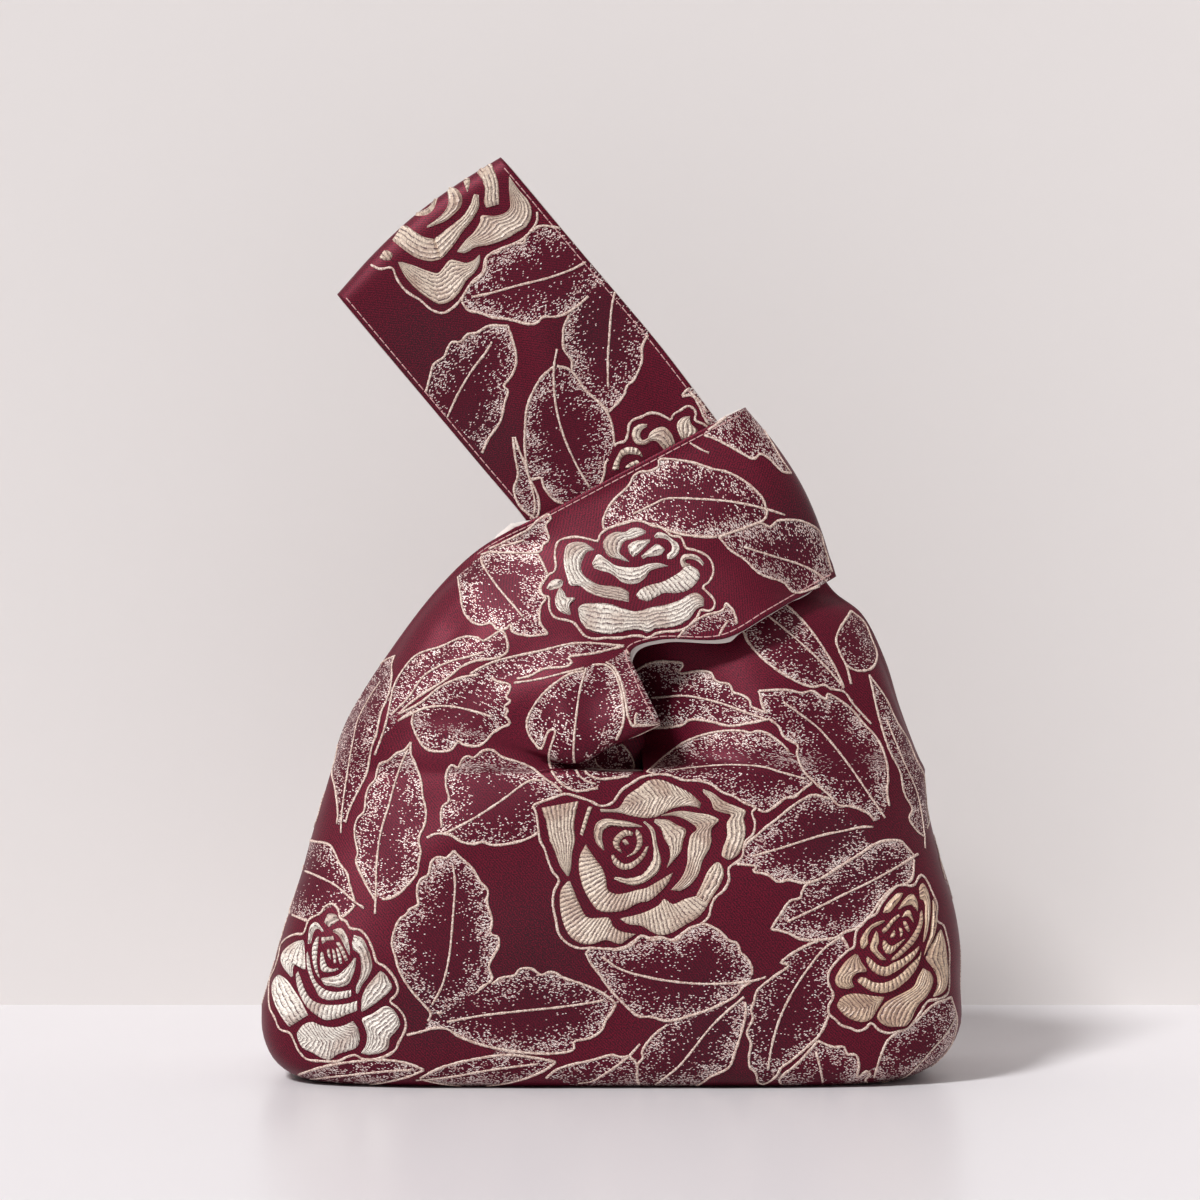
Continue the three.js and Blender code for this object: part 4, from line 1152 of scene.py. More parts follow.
     (592, 665, 605, 665, 613, 671, 619, 684, 624, 715, 622, 727, 616, 740),
     (586, 668, 580, 690, 577, 710, 574, 740, 574, 760, 578, 774, 586, 781, 596, 784)),
    ("left", 0.9, (606, 662, 614, 668, 621, 682, 626, 704, 628, 716, 632, 726),
     (626, 650, 640, 670, 662, 706, 660, 722, 632, 726),
     (637, 713, 635, 719, 636, 727)),
    ("left", 0.7, (582, 758, 583, 768, 589, 775, 600, 779, 615, 778, 629, 776),
     (616, 741, 625, 748, 631, 756, 634, 766, 632, 777),
     (594, 756, 597, 765, 607, 772)),
    ("both", 0.8, (286, 1080, 300, 1074, 322, 1067, 350, 1062, 385, 1060, 410, 1064, 424, 1070),
     (286, 1082, 310, 1086, 350, 1086, 385, 1082, 410, 1076, 424, 1070),
     (283, 1084, 310, 1079, 350, 1075, 390, 1071, 412, 1070)),
    ("both", 0.8, (420, 1078, 440, 1068, 470, 1060, 505, 1055, 530, 1057, 556, 1062),
     (420, 1079, 445, 1084, 480, 1086, 520, 1080, 545, 1070, 556, 1062),
     (416, 1080, 450, 1077, 490, 1070, 520, 1066, 538, 1064)),
)

# Roses of the front in the photograph: strip, shape and painted shade from cream to gold, cream for a rose in
# strong light and gold for one in shade
ROSES = (
    ("both", CENTRE_ROSE, 0.45),
    ("both", LEFT_ROSE, 0.0),
    ("both", RIGHT_ROSE, 0.8),
    ("left", BAND_ROSE, 0.05),
    ("right", HANDLE_ROSE, 0.45),
    ("right", HIDDEN_ROSE, 0.4),
)
# Random leaves on the sides: how far their cloth may face the photograph, and the heights in millimetres and
# the sizes that they take
SIDE_SEED = 11
SIDE_TRIES = 500
SIDE_TURN = 0.25
SIDE_FOOT = 8.0
SIDE_TOP = 150.0
SIDE_SIZES = (0.5, 0.95)
# The longest random leaf and the least space round it, in millimetres
LONGEST_LEAF = 70.0
MOTIF_SPACE = 2.5
# Places in LEAVES of those that the photograph shows whole
WHOLE_LEAVES = (0, 4, 5, 7, 13, 18, 19, 24, 30, 31)
# Which points of an outline are tested, and at which shares of the way out to them from the middle
TESTED_STEP = 5
TESTED_SHARES = (1.0, 0.7, 0.4, 0.1)


def motif_points(motif):
    """Points of a motif on the cloth, along its outline and inside it, for keeping other motifs away."""
    outline = motif.outline[::TESTED_STEP]
    middle = outline.mean(axis=0)
    flats = [lerp(middle, point, share) for share in TESTED_SHARES for point in outline]
    found = [motif.view.place(flat) for flat in flats]
    return [hit for hit in found if hit is not None]


def woven_motifs(face):
    """One face's leaves and roses from the photograph, each with the outlines of those that lie over it."""
    strips = {"left": [face["left"]], "right": [face["right"]], "both": [face["left"], face["right"]]}
    motifs = [Leaf(PhotoView(strips[shape[0]]), shape) for shape in LEAVES]
    motifs += [Rose(PhotoView(strips[owner]), shape, tone) for owner, shape, tone in ROSES]
    for index, motif in enumerate(motifs):
        for later in motifs[index + 1:]:
            if any(strip in later.view.strips for strip in motif.view.strips):
                motif.covers.append(later.outline)
    return motifs


def side_leaves(face, motifs, rng):
    """Leaves for the sides of one face that the photograph doesn't show, set clear of its other motifs."""
    taken = np.array([point for motif in motifs for point, _ in motif_points(motif)])
    strips = list(face.values())
    places = []
    for strip in strips:
        turned = (np.abs(strip.normals[:, :, 1]) < SIDE_TURN) & (strip.rows[:, :, 2] > SIDE_FOOT)
        turned &= strip.rows[:, :, 2] < SIDE_TOP
        places.extend((strip, row, column) for row, column in np.argwhere(turned))
    added = []
    for _ in range(SIDE_TRIES):
        strip, row, column = rng.choice(places)
        centre = strip.rows[row, column]
        shape = LEAVES[rng.choice(WHOLE_LEAVES)]
        view = LocalView(strips, centre, strip.normals[row, column], rng.uniform(-math.pi, math.pi))
        leaf = Leaf(view, shape, rng.uniform(*SIDE_SIZES))
        away = np.linalg.norm(taken - centre, axis=1)
        if away.min() < MOTIF_SPACE:
            continue
        found = motif_points(leaf)
        if len(found) < len(leaf.outline) // TESTED_STEP:
            continue
        points, normals = [np.array(values) for values in zip(*found)]
        gaps = np.linalg.norm(points[:, None] - taken[away < LONGEST_LEAF][None], axis=2)
        in_photo = (normals[:, 1] * strip.facing).min() < -SIDE_TURN
        if in_photo or gaps.min(initial=LONGEST_LEAF) < MOTIF_SPACE:
            continue
        taken = np.vstack([taken, points])
        added.append(leaf)
    return added


def plan_motifs(faces):
    """All roses and leaves; the back takes the front's as in a mirror, and the sides take more leaves."""
    rng = random.Random(SIDE_SEED)
    planned = []
    for face in faces.values():
        motifs = woven_motifs(face)
        planned.extend(motifs + side_leaves(face, motifs, rng))
    return planned


# How far past a leaf's edge its depth and its specks are still written, in millimetres
LEAF_MARGIN = 6.0
SPECK_MARGIN = 1.5


def sheen_patch_field(strip):
    """How strongly the grey of the satin's sheen is painted at each point of a strip."""
    pixels = strip.pixels()
    sheen_patch = np.zeros(pixels.shape[:2])
    for across, down, radius in SHEEN_PATCHES:
        distance = np.linalg.norm(pixels - np.array([across, down]), axis=2)
        sheen_patch = np.maximum(sheen_patch, np.exp(-((distance / radius) ** 2)))
    return sheen_patch


def leaf_fields(strip, motifs):
    """How deep each point of a strip lies in a leaf, in millimetres, and how thickly it is specked."""
    depth = np.full(strip.rows.shape[:2], -LEAF_MARGIN)
    specks = np.zeros(strip.rows.shape[:2])
    for motif in motifs:
        if strip not in motif.view.strips:
            continue
        flat, seen = motif.view.flatten(strip)
        low = motif.outline.min(axis=0) - LEAF_MARGIN * PIXELS_PER_MM
        high = motif.outline.max(axis=0) + LEAF_MARGIN * PIXELS_PER_MM
        near = seen & np.all((flat > low) & (flat < high), axis=2)
        if not near.any():
            continue
        points = flat[near]
        distance = np.full(len(points), np.inf)
        for line in motif.edges:
            for start, end in zip(line, line[1:]):
                distance = np.minimum(distance, distance_to_segment(points, start, end)[0])
        within = inside(points, motif.outline)
        if isinstance(motif, Rose):
            depth[near] = np.where(within, -np.minimum(distance, LEAF_MARGIN), depth[near])
            continue
        signed = np.where(within, distance, -distance) / PIXELS_PER_MM
        depth[near] = np.where(within, signed, np.maximum(depth[near], signed))
        specks[near] = np.where(signed > -SPECK_MARGIN, motif.specks, specks[near])
    return depth, specks


def grid_verts(bm, columns, rows):
    """A new grid's vertices with the column and row of each."""
    made = bmesh.ops.create_grid(bm, x_segments=columns, y_segments=rows, size=0.5)["verts"]
    for vert in made:
        yield vert, round((vert.co.x + 0.5) * columns), round((vert.co.y + 0.5) * rows)


def new_object(name, bm, material, smooth=True):
    """An object at the origin from a finished bmesh."""
    for face in bm.faces:
        face.smooth = smooth
    mesh = bpy.data.meshes.new(name)
    bm.to_mesh(mesh)
    bm.free()
    mesh.materials.append(material)
    piece = bpy.data.objects.new(name, mesh)
    bpy.context.scene.collection.objects.link(piece)
    return piece


# How far the lining shows past the brocade, and from where to where across the bag, in millimetres,
# for each strip's side and edge
LINING_SHOWS = {
    (-1, -1): ((1.9, -70.0, 47.0),),
    (-1, 0): ((2.0, -46.0, -28.0), (0.7, 36.0, 140.0)),
    (1, -1): ((0.3, -140.0, 140.0),),
    (1, 0): ((0.4, -140.0, 140.0),),
}
# Edge columns of a strip, each with the column from which its way out is measured
EDGE_COLUMNS = ((-1, -3), (0, 2))
# Rows and millimetres over which the lining comes out
SHOW_ROWS = 12
SHOW_FADE = 6.0
# Height of the neck's top, in millimetres
NECK_TOP = 156.0
# How far the lining keeps off the side seams below the neck's top, and the height over which that ends
SEAM_SETBACK = 0.8
SETBACK_FADE = 20.0
# Cells over which the lining is tucked behind the cloth beside the mouth, and the rows, the heights and the
# depths in millimetres over which that sets in
TUCK_STEPS = 4
TUCK_ROWS = 8
TUCK_HEIGHTS = (NECK_TOP - 16.0, NECK_TOP - 6.0)
TUCK_DEPTHS = (6.0, 14.0)
# Distance within which both strips of a panel are joined, in millimetres
JOIN_DISTANCE = 0.05


def widened(strip, rows):
    """The rows with their free edges drawn out where a little of the lining shows past the brocade."""
    rows = rows.copy()
    ramp = smoothstep(np.arange(len(rows)), SHARED_ROWS, SHARED_ROWS + SHOW_ROWS)
    for column, neighbour in EDGE_COLUMNS:
        way = unit(rows[:, column] - rows[:, neighbour])
        x, y, z = strip.rows[:, column].T
        unsewn = smoothstep(np.abs(y), EDGE_DEPTH, 3 * EDGE_DEPTH)
        free = ramp * unsewn * smoothstep(z, NECK_TOP - SHOW_FADE, NECK_TOP)
        for outset, start, end in LINING_SHOWS[strip.side, column]:
            shown = smoothstep(x, start, start + SHOW_FADE) * (1 - smoothstep(x, end - SHOW_FADE, end))
            rows[:, column] += way * (outset * free * shown)[:, None]
    return rows


def tucked(strip, rows, inset):
    """The lining's rows with those beside the mouth set behind the innermost cloth near them."""
    innermost = np.abs(strip.rows[:, :, 1])
    for _ in range(TUCK_STEPS):
        innermost = np.minimum.reduce((innermost, *neighbours(innermost)))
    behind = rows.copy()
    behind[:, :, 0::2] = strip.rows[:, :, 0::2]
    behind[:, :, 1] = -strip.facing * np.maximum(innermost - inset, SEAM_DEPTH / 2)
    near = smoothstep(np.arange(len(rows)), SHARED_ROWS - TUCK_ROWS, SHARED_ROWS)[:, None]
    near = near * (1 - smoothstep(strip.rows[:, :, 2], *TUCK_HEIGHTS))
    near = near * smoothstep(np.abs(strip.rows[:, :, 1]), *TUCK_DEPTHS)
    return lerp(rows, behind, near[:, :, None])


def add_sheet(bm, strip, inset, fields, layers):
    """Adds one strip of cloth at a distance behind the face, with its own flat lengths for the weave."""
    uv, *floats = layers
    rows = strip.rows - strip.normals * inset
    least = SEAM_DEPTH
    if inset > 0:
        least = least + SEAM_SETBACK * (1 - smoothstep(rows[:, :, 2], NECK_TOP, NECK_TOP + SETBACK_FADE))
    rows[:, :, 1] = -strip.facing * np.maximum(-strip.facing * rows[:, :, 1], least)
    if inset > 0:
        rows = widened(strip, tucked(strip, rows, inset))
    count, width = rows.shape[0] - 1, rows.shape[1] - 1
    steps = np.linalg.norm(np.diff(rows[:, ::-1], axis=1), axis=2)
    from_inner = np.pad(np.cumsum(steps, axis=1), ((0, 0), (1, 0)))
    across = from_inner[:, ::-1] * strip.side
    upward = np.linalg.norm(np.diff(rows, axis=0), axis=2).mean(axis=1)
    upward = np.concatenate([[0.0], np.cumsum(upward)])
    turned = facing_sign(strip.side, strip.facing) < 0
    flat = {}
    for vert, column, row in grid_verts(bm, width, count):
        if turned:
            column = width - column
        vert.co = rows[row, column] * MM
        for layer, field in zip(floats, fields):
            vert[layer] = field[row, column]
        flat[vert] = (across[row, column], upward[row])
    for vert, place in flat.items():
        for loop in vert.link_loops:
            loop[uv].uv = place


def cloth_piece(name, face, inset, thickness, material, motifs):
    """One panel of cloth from both strips of a face, joined along the middle line below the mouth."""
    bm = bmesh.new()
    floats = bm.verts.layers.float
    layers = [bm.loops.layers.uv.new("cloth")]
    if motifs:
        # The leaves' depth and specks, and the patches of painted grey sheen, that the brocade's shader reads
        layers += [floats.new("leaf"), floats.new("speck"), floats.new("sheen_patch")]
    for strip in face.values():
        fields = (*leaf_fields(strip, motifs), sheen_patch_field(strip)) if motifs else ()
        add_sheet(bm, strip, inset, fields, layers)
    bmesh.ops.remove_doubles(bm, verts=bm.verts[:], dist=JOIN_DISTANCE * MM)
    piece = new_object(name, bm, material)
    solid = piece.modifiers.new("thickness", "SOLIDIFY")
    solid.thickness = thickness * MM
    solid.offset = -1.0
    return piece


# Sides of a yarn, the range of its uneven width, and its rise over the cloth as a share of its height
YARN_SIDES = 6
YARN_UNEVEN = (0.72, 1.2)
YARN_RISE = 0.3
# Height of an outline's yarn as a share of its width
YARN_FLATNESS = 0.5
# Longest step of a yarn and lowest place of any thread above the table, in millimetres
LONGEST_STEP = 4.0 * YARN_STEP / PIXELS_PER_MM
LOWEST_THREAD = 0.6
# Distance within which the points of a yarn's closed end are joined, in metres
END_JOIN = 1e-7


def add_yarn(bm, points, normals, width, height, rng=None):
    """A flattened yarn that lies on the cloth, with closed ends; with rng its width is uneven."""
    widths = [width * (rng.uniform(*YARN_UNEVEN) if rng else 1.0) for _ in points]
    points, normals = np.asarray(points, float), np.asarray(normals, float)
    ahead = unit(np.gradient(points, axis=0))
    side = unit(np.cross(ahead, normals))
    last = len(points) + 1
    for vert, ring, corner in grid_verts(bm, last, YARN_SIDES):
        turn = 2 * math.pi * (corner % YARN_SIDES) / YARN_SIDES
        index = min(max(ring - 1, 0), len(points) - 1)
        closing = 0.0 if ring in (0, last) else 1.0
        out = side[index] * (math.cos(turn) * widths[index] / 2 * closing)
        rise = normals[index] * (math.sin(turn) * height / 2 * closing + height * YARN_RISE)
        vert.co = (points[index] + out + rise) * MM


def runs_on_cloth(motif, line):
    """The parts of a flat line that lie on the cloth and aren't covered, as points with normals."""
    hidden = np.zeros(len(line), bool)
    for outline in motif.covers:
        low, high = outline.min(axis=0), outline.max(axis=0)
        near = np.all((line > low) & (line < high), axis=1)
        if near.any():
            hidden[near] |= inside(line[near], outline)
    run = []
    for flat, covered in zip(line, hidden):
        hit = None if covered else motif.view.place(flat)
        if hit is not None and hit[0][2] < LOWEST_THREAD:
            hit = None
        if hit is None or run and np.linalg.norm(hit[0] - run[-1][0]) > LONGEST_STEP:
            if len(run) > 2:
                yield run
            run = []
        if hit is not None:
            run.append(hit)
    if len(run) > 2:
        yield run


def yarn_outlines(name, motifs, material, width, height):
    """One piece with the yarn outlines and midribs of the given motifs."""
    bm = bmesh.new()
    rng = random.Random(name)
    for motif in motifs:
        for line, share in motif.yarns():
            for run in runs_on_cloth(motif, line):
                points, normals = zip(*run)
                add_yarn(bm, points, normals, width * share, height * share, rng)
    bmesh.ops.remove_doubles(bm, verts=bm.verts[:], dist=END_JOIN)
    return new_object(name, bm, material)


# Fewest rows of a petal, its fewest and most columns, and the slope of its chevrons
PETAL_ROWS = 4
PETAL_COLUMNS = (4, 14)
CHEVRON_SLOPE = 0.35
# Spots of a petal's shade in a pixel, and the range that sets one petal's shade apart from the next
SHADE_SCALE = 0.045
SHADE_RANGE = 40.0
# Longest side of a petal's cell, in metres, past which the cell would span a gap in the cloth
LONGEST_THREAD = 0.02


def petal_thread(hatch, along, across, widest):
    """Where a point of a petal lies in its threads: across the dark lines and along them, in millimetres."""
    if hatch == "along":
        return across * widest / 2, along
    if hatch == "chevron":
        return along + CHEVRON_SLOPE * widest * abs(across), across * widest / 2
    return along, across * widest / 2


def add_petal(bm, motif, petal, layers, lift, rng):
    """One petal: threads between its two sides, rounded down to the cloth all round."""
    uv, tone, shade = layers
    hatch, outer, inner = petal
    longest = max(np.linalg.norm(np.diff(side, axis=0), axis=1).sum() for side in (outer, inner))
    rows = max(PETAL_ROWS, round(longest / PETAL_STEP))
    sides = [spaced(side, rows) for side in (outer, inner)]
    widths = np.linalg.norm(sides[1] - sides[0], axis=1) / PIXELS_PER_MM
    widest = widths.max()
    columns = int(np.clip(round(widest / PETAL_CELL), *PETAL_COLUMNS))
    length = longest / PIXELS_PER_MM
    phase = rng.uniform(0.0, SHADE_RANGE)
    places = {}
    for vert, row, column in grid_verts(bm, rows, columns):
        across = math.sin(math.pi * (column / columns - 0.5))
        along = row / rows * length
        flat = lerp(sides[0][row], sides[1][row], (across + 1) / 2)
        hit = motif.view.place(flat)
        if hit is None or hit[0][2] < LOWEST_THREAD:
            places[vert] = None
            continue
        to_rim = min((1 - abs(across)) * widths[row] / 2, along, length - along)
        rise = lift * math.sqrt(min(to_rim / PETAL_ROUNDING, 1.0))
        vert.co = (hit[0] + hit[1] * rise) * MM
        # Painted light and shade: each petal takes its rose's share of gold over cream
        vert[tone] = motif.tone
        spot = Vector((flat[0] * SHADE_SCALE, flat[1] * SHADE_SCALE, phase))
        vert[shade] = 0.5 + 0.5 * noise.noise(spot)
        places[vert] = petal_thread(hatch, along, across, widest)
    for vert, place in places.items():
        if place is not None:
            for loop in vert.link_loops:
                loop[uv].uv = place
    lost = [vert for vert, place in places.items() if place is None]
    torn = set()
    for vert in places:
        for edge in vert.link_edges:
            if edge.calc_length() > LONGEST_THREAD and places[vert] is not None:
                torn.add(edge)
    bmesh.ops.delete(bm, geom=lost, context="VERTS")
    torn = [edge for edge in torn if edge.is_valid]
    if torn:
        bmesh.ops.delete(bm, geom=torn, context="EDGES")


def rose_petals(name, motifs, material, lift):
    """One piece with the petals of all roses on one panel."""
    bm = bmesh.new()
    floats = bm.verts.layers.float
    layers = (bm.loops.layers.uv.new("thread"), floats.new("tone"), floats.new("shade"))
    rng = random.Random(name)
    for motif in motifs:
        for petal in motif.petals:
            add_petal(bm, motif, petal, layers, lift, rng)
    return new_object(name, bm, material)


# Distance of the topstitching from an edge and its lowest place, in millimetres
STITCH_INSET = 1.8
STITCH_FOOT = 130.0
# Points along one stitch, its width in millimetres and its height as a share of that
STITCH_POINTS = 4
STITCH_WIDTH = 0.42
STITCH_FLATNESS = 0.7


def free_edges(strip):
    """Lines just inside the sewn edges of a strip, each as points with normals."""
    last = len(strip.rows) - END_ROWS
    for inner in (True, False):
        line = []
        for row in range(SHARED_ROWS, last):
            points = strip.rows[row][::-1] if inner else strip.rows[row]
            normals = strip.normals[row][::-1] if inner else strip.normals[row]
            if points[0][2] < STITCH_FOOT or not inner and abs(points[0][1]) < EDGE_DEPTH:
                continue
            travelled = travel(points)
            place = at_lengths(STITCH_INSET, travelled, points)
            line.append((place, normals[np.searchsorted(travelled, STITCH_INSET)]))
        if len(line) > 3:
            yield line


def stitching(name, face, material, length, gap):
    """The topstitching of one panel, a row of short stitches inside every free edge."""
    bm = bmesh.new()
    for strip in face.values():
        for line in free_edges(strip):
            points, normals = [np.array(values) for values in zip(*line)]
            travelled = travel(points)
            start = gap
            while start + length < travelled[-1]:
                wanted = np.linspace(start, start + length, STITCH_POINTS)
                run = at_lengths(wanted, travelled, points)
                lean = unit(at_lengths(wanted, travelled, normals))
                add_yarn(bm, run, lean, STITCH_WIDTH, STITCH_WIDTH * STITCH_FLATNESS)
                start += length + gap
    bmesh.ops.remove_doubles(bm, verts=bm.verts[:], dist=END_JOIN)
    return new_object(name, bm, material)


def linear(red, green, blue):
    """A screen colour from 0 to 255 as the linear colour that a shader takes."""
    def channel(value):
        value /= 255.0
        return value / 12.92 if value <= 0.04045 else ((value + 0.055) / 1.055) ** 2.4
    return (channel(red), channel(green), channel(blue), 1.0)


def new_material(name):
    """A material with its node tree and its main shader."""
    material = bpy.data.materials.new(name)
    material.use_nodes = True
    tree = material.node_tree
    return material, tree, tree.nodes["Principled BSDF"]


def set_inputs(tree, node, inputs):
    """Gives a node's inputs their values, each a plain value or another node's output."""
    for key, value in inputs.items():
        if isinstance(value, bpy.types.NodeSocket):
            tree.links.new(value, node.inputs[key])
        else:
            node.inputs[key].default_value = value


def add_node(tree, kind, inputs=None, **settings):
    """A shader node with its settings and inputs."""
    node = tree.nodes.new(kind)
    for key, value in settings.items():
        setattr(node, key, value)
    set_inputs(tree, node, inputs or {})
    return node


def math_node(tree, operation, first, second=0.0):
    """The outcome of an operation on one or two values."""
    return add_node(tree, "ShaderNodeMath", {0: first, 1: second}, operation=operation).outputs[0]


def product(tree, first, *others):
    """All the values multiplied, from the first on."""
    for other in others:
        first = math_node(tree, "MULTIPLY", first, other)
    return first


def map_range(tree, value, low, high, start=0.0, end=1.0, smooth=True):
    """A value between low and high as one between start and end."""
    inputs = {"Value": value, "From Min": low, "From Max": high, "To Min": start, "To Max": end}
    kind = "SMOOTHSTEP" if smooth else "LINEAR"
    return add_node(tree, "ShaderNodeMapRange", inputs, interpolation_type=kind).outputs["Result"]


def mix_colour(tree, factor, first, second):
    """The first colour, mixed with the second by a factor."""
    return add_node(tree, "ShaderNodeMix", {0: factor, 6: first, 7: second}, data_type="RGBA").outputs[2]


def carried(tree, name):
    """A value that the cloth carries at each of its points."""
    return add_node(tree, "ShaderNodeAttribute", attribute_name=name).outputs["Fac"]


def spots(tree, place, scale, detail):
    """Soft random spots, so many to a millimetre of the cloth."""
    inputs = {"Vector": place, "Scale": scale, "Detail": detail}
    return add_node(tree, "ShaderNodeTexNoise", inputs, noise_dimensions="2D").outputs["Fac"]


def relief(tree, height, strength, depth):
    """The turned normals of threads that stand out by a height."""
    inputs = {"Height": height, "Strength": strength, "Distance": depth}
    return add_node(tree, "ShaderNodeBump", inputs).outputs["Normal"]


CRIMSON = linear(118, 16, 43)
DARK_WEFT = linear(40, 12, 25)
# Grey of the two-tone satin as it looks turned from the light, painted in patches as its sheen
SHEEN_GREY = linear(44, 26, 33)
LEAF_GROUND = linear(62, 14, 31)
SPECK = linear(255, 246, 240)
DULL_SPECK = linear(196, 156, 150)
CREAM = linear(255, 246, 234)
# Cream thread as it looks in shade, painted onto the roses that the light reaches less
SHADED_CREAM = linear(226, 188, 150)
PETAL_SHADE = linear(178, 138, 118)
PETAL_GRAIN = linear(140, 96, 84)
PETAL_LINE = linear(74, 30, 38)
YARN = linear(238, 219, 206)
DULL_YARN = linear(182, 146, 134)
STITCH = linear(212, 164, 162)
LINING = linear(226, 216, 210)
FLOOR = linear(226, 223, 226)
WALL = linear(237, 232, 230)
SKY = linear(255, 252, 250)

# Spacing of the dark lines in the petals and how far they waver, in millimetres
STITCH_ROW = 1.75
STITCH_WAVER = 1.3
# Slant of the specks, and how many of them lie along and across that slant in a millimetre
SPECK_SLANT = math.radians(28.0)
SPECKS_PER_MM = (1.45, 2.5, 1.0)
# Share of the cells that hold a speck, over the way from a leaf's edge to this depth in millimetres
SPECK_DEPTH = 14.0
SPECK_FADE = ((0.0, 0.82), (0.15, 0.62), (0.35, 0.36), (0.6, 0.1), (1.0, 0.01))
# Parts of the fine weave and of the twill in the ground
WEAVE_PART = 0.84
TWILL_PART = 0.16


def brocade_material(ground_colour):
    """Satin with a fine twill, patches of painted grey sheen, and pale specks where a leaf is woven in."""
    material, tree, shader = new_material("Brocade")
    cloth = add_node(tree, "ShaderNodeUVMap", uv_map="cloth").outputs["UV"]
    leaf = carried(tree, "leaf")
    slanted = {"Vector": cloth, "Rotation": (0.0, 0.0, SPECK_SLANT), "Scale": SPECKS_PER_MM}
    slant = add_node(tree, "ShaderNodeMapping", slanted).outputs["Vector"]
    scattered = {"Vector": slant, "Scale": 1.0, "Randomness": 0.85}
    cells = add_node(tree, "ShaderNodeTexVoronoi", scattered, voronoi_dimensions="2D").outputs
    draws = add_node(tree, "ShaderNodeSeparateColor", {"Color": cells["Color"]}).outputs
    depth = map_range(tree, leaf, 0.0, SPECK_DEPTH, smooth=False)
    fade = add_node(tree, "ShaderNodeFloatCurve", {"Value": depth})
    curve = fade.mapping.curves[0]
    curve.points[0].location = SPECK_FADE[0]
    curve.points[1].location = SPECK_FADE[-1]
    for across, share in SPECK_FADE[1:-1]:
        curve.points.new(across, share)
    uneven = map_range(tree, spots(tree, cloth, 0.12, 2.0), 0.3, 0.7, 0.4, 1.25)
    density = product(tree, fade.outputs["Value"], carried(tree, "speck"), uneven)
    chosen = math_node(tree, "LESS_THAN", draws["Red"], density)
    dot = map_range(tree, cells["Distance"], 0.54, 0.4)
    within = map_range(tree, leaf, -0.15, 0.15)
    specks = product(tree, chosen, dot, within)
    weave = spots(tree, cloth, 2.3, 2.0)
    bands = {"Vector": cloth, "Scale": 0.5, "Distortion": 2.5, "Detail": 1.0, "Detail Scale": 3.0}
    twill = add_node(
        tree, "ShaderNodeTexWave", bands, wave_type="BANDS", bands_direction="DIAGONAL",
    ).outputs["Fac"]
    thread = math_node(tree, "ADD", product(tree, weave, WEAVE_PART), product(tree, twill, TWILL_PART))
    ground = mix_colour(tree, map_range(tree, thread, 0.3, 0.7), DARK_WEFT, ground_colour)
    # Painted sheen: grey patches where the satin turns from the light, broken up by the weave
    sheen_patch = product(tree, carried(tree, "sheen_patch"), map_range(tree, weave, 0.38, 0.62, 1.0, 0.1))
    ground = mix_colour(tree, sheen_patch, ground, SHEEN_GREY)
    ground = mix_colour(tree, product(tree, within, 0.3), ground, LEAF_GROUND)
    speck_colour = mix_colour(tree, draws["Green"], SPECK, DULL_SPECK)
    height = math_node(tree, "ADD", product(tree, thread, 0.35), specks)
    set_inputs(tree, shader, {
        "Base Color": mix_colour(tree, specks, ground, speck_colour),
        "Normal": relief(tree, height, 0.35, 0.0004),
        "Roughness": 0.5,
        "Metallic": 0.32,
        "Specular IOR Level": 0.2,
    })
    return material


def petal_material():
    """Pale satin threads in rows, with a thin dark line where one row of stitches meets the next."""
    material, tree, shader = new_material("Petals")
    thread = add_node(tree, "ShaderNodeUVMap", uv_map="thread").outputs["UV"]
    place = add_node(tree, "ShaderNodeSeparateXYZ", {"Vector": thread}).outputs
    waver = spots(tree, thread, 0.45, 2.0)
    shifted = math_node(tree, "ADD", place["X"], product(tree, waver, STITCH_WAVER))
    row = math_node(tree, "FRACT", math_node(tree, "DIVIDE", shifted, STITCH_ROW))
    from_middle = math_node(tree, "ABSOLUTE", math_node(tree, "SUBTRACT", row, 0.5))
    broken = map_range(tree, waver, 0.38, 0.5, 0.35, 1.0)
    line = product(tree, map_range(tree, from_middle, 0.06, 0.15, 1.0, 0.0), broken)
    streaked = {"Vector": thread, "Scale": (0.6, 2.6, 1.0)}
    grain = spots(tree, add_node(tree, "ShaderNodeMapping", streaked).outputs["Vector"], 1.1, 3.0)
    # Painted light and shade: cream on roses in strong light, gold on those in shade
    pale = mix_colour(tree, carried(tree, "tone"), CREAM, SHADED_CREAM)
    shade = map_range(tree, carried(tree, "shade"), 0.4, 0.75, 0.0, 0.55)
    pale = mix_colour(tree, shade, pale, PETAL_SHADE)
    pale = mix_colour(tree, map_range(tree, grain, 0.34, 0.5, 0.62, 0.0), pale, PETAL_GRAIN)
    swell = map_range(tree, from_middle, 0.0, 0.5, 0.0, 1.6)
    height = math_node(tree, "ADD", product(tree, grain, 0.6), swell)
    set_inputs(tree, shader, {
        "Base Color": mix_colour(tree, line, pale, PETAL_LINE),
        "Normal": relief(tree, height, 0.6, 0.0006),
        "Roughness": 0.36,
        "Specular IOR Level": 0.7,
    })
    return material


def yarn_material(colour):
    """Pale yarn whose twist shows as brighter and duller spots."""
    material, tree, shader = new_material("Yarn")
    place = add_node(tree, "ShaderNodeTexCoord").outputs["Object"]
    twisted = {"Vector": place, "Scale": 1900.0, "Detail": 1.0}
    twist = add_node(tree, "ShaderNodeTexNoise", twisted).outputs["Fac"]
    uneven = mix_colour(tree, map_range(tree, twist, 0.4, 0.62), colour, DULL_YARN)
    set_inputs(tree, shader, {"Base Color": uneven, "Roughness": 0.5})
    return material


def plain_material(name, colour, roughness):
    """A material of one colour."""
    material, tree, shader = new_material(name)
    set_inputs(tree, shader, {"Base Color": colour, "Roughness": roughness})
    return material


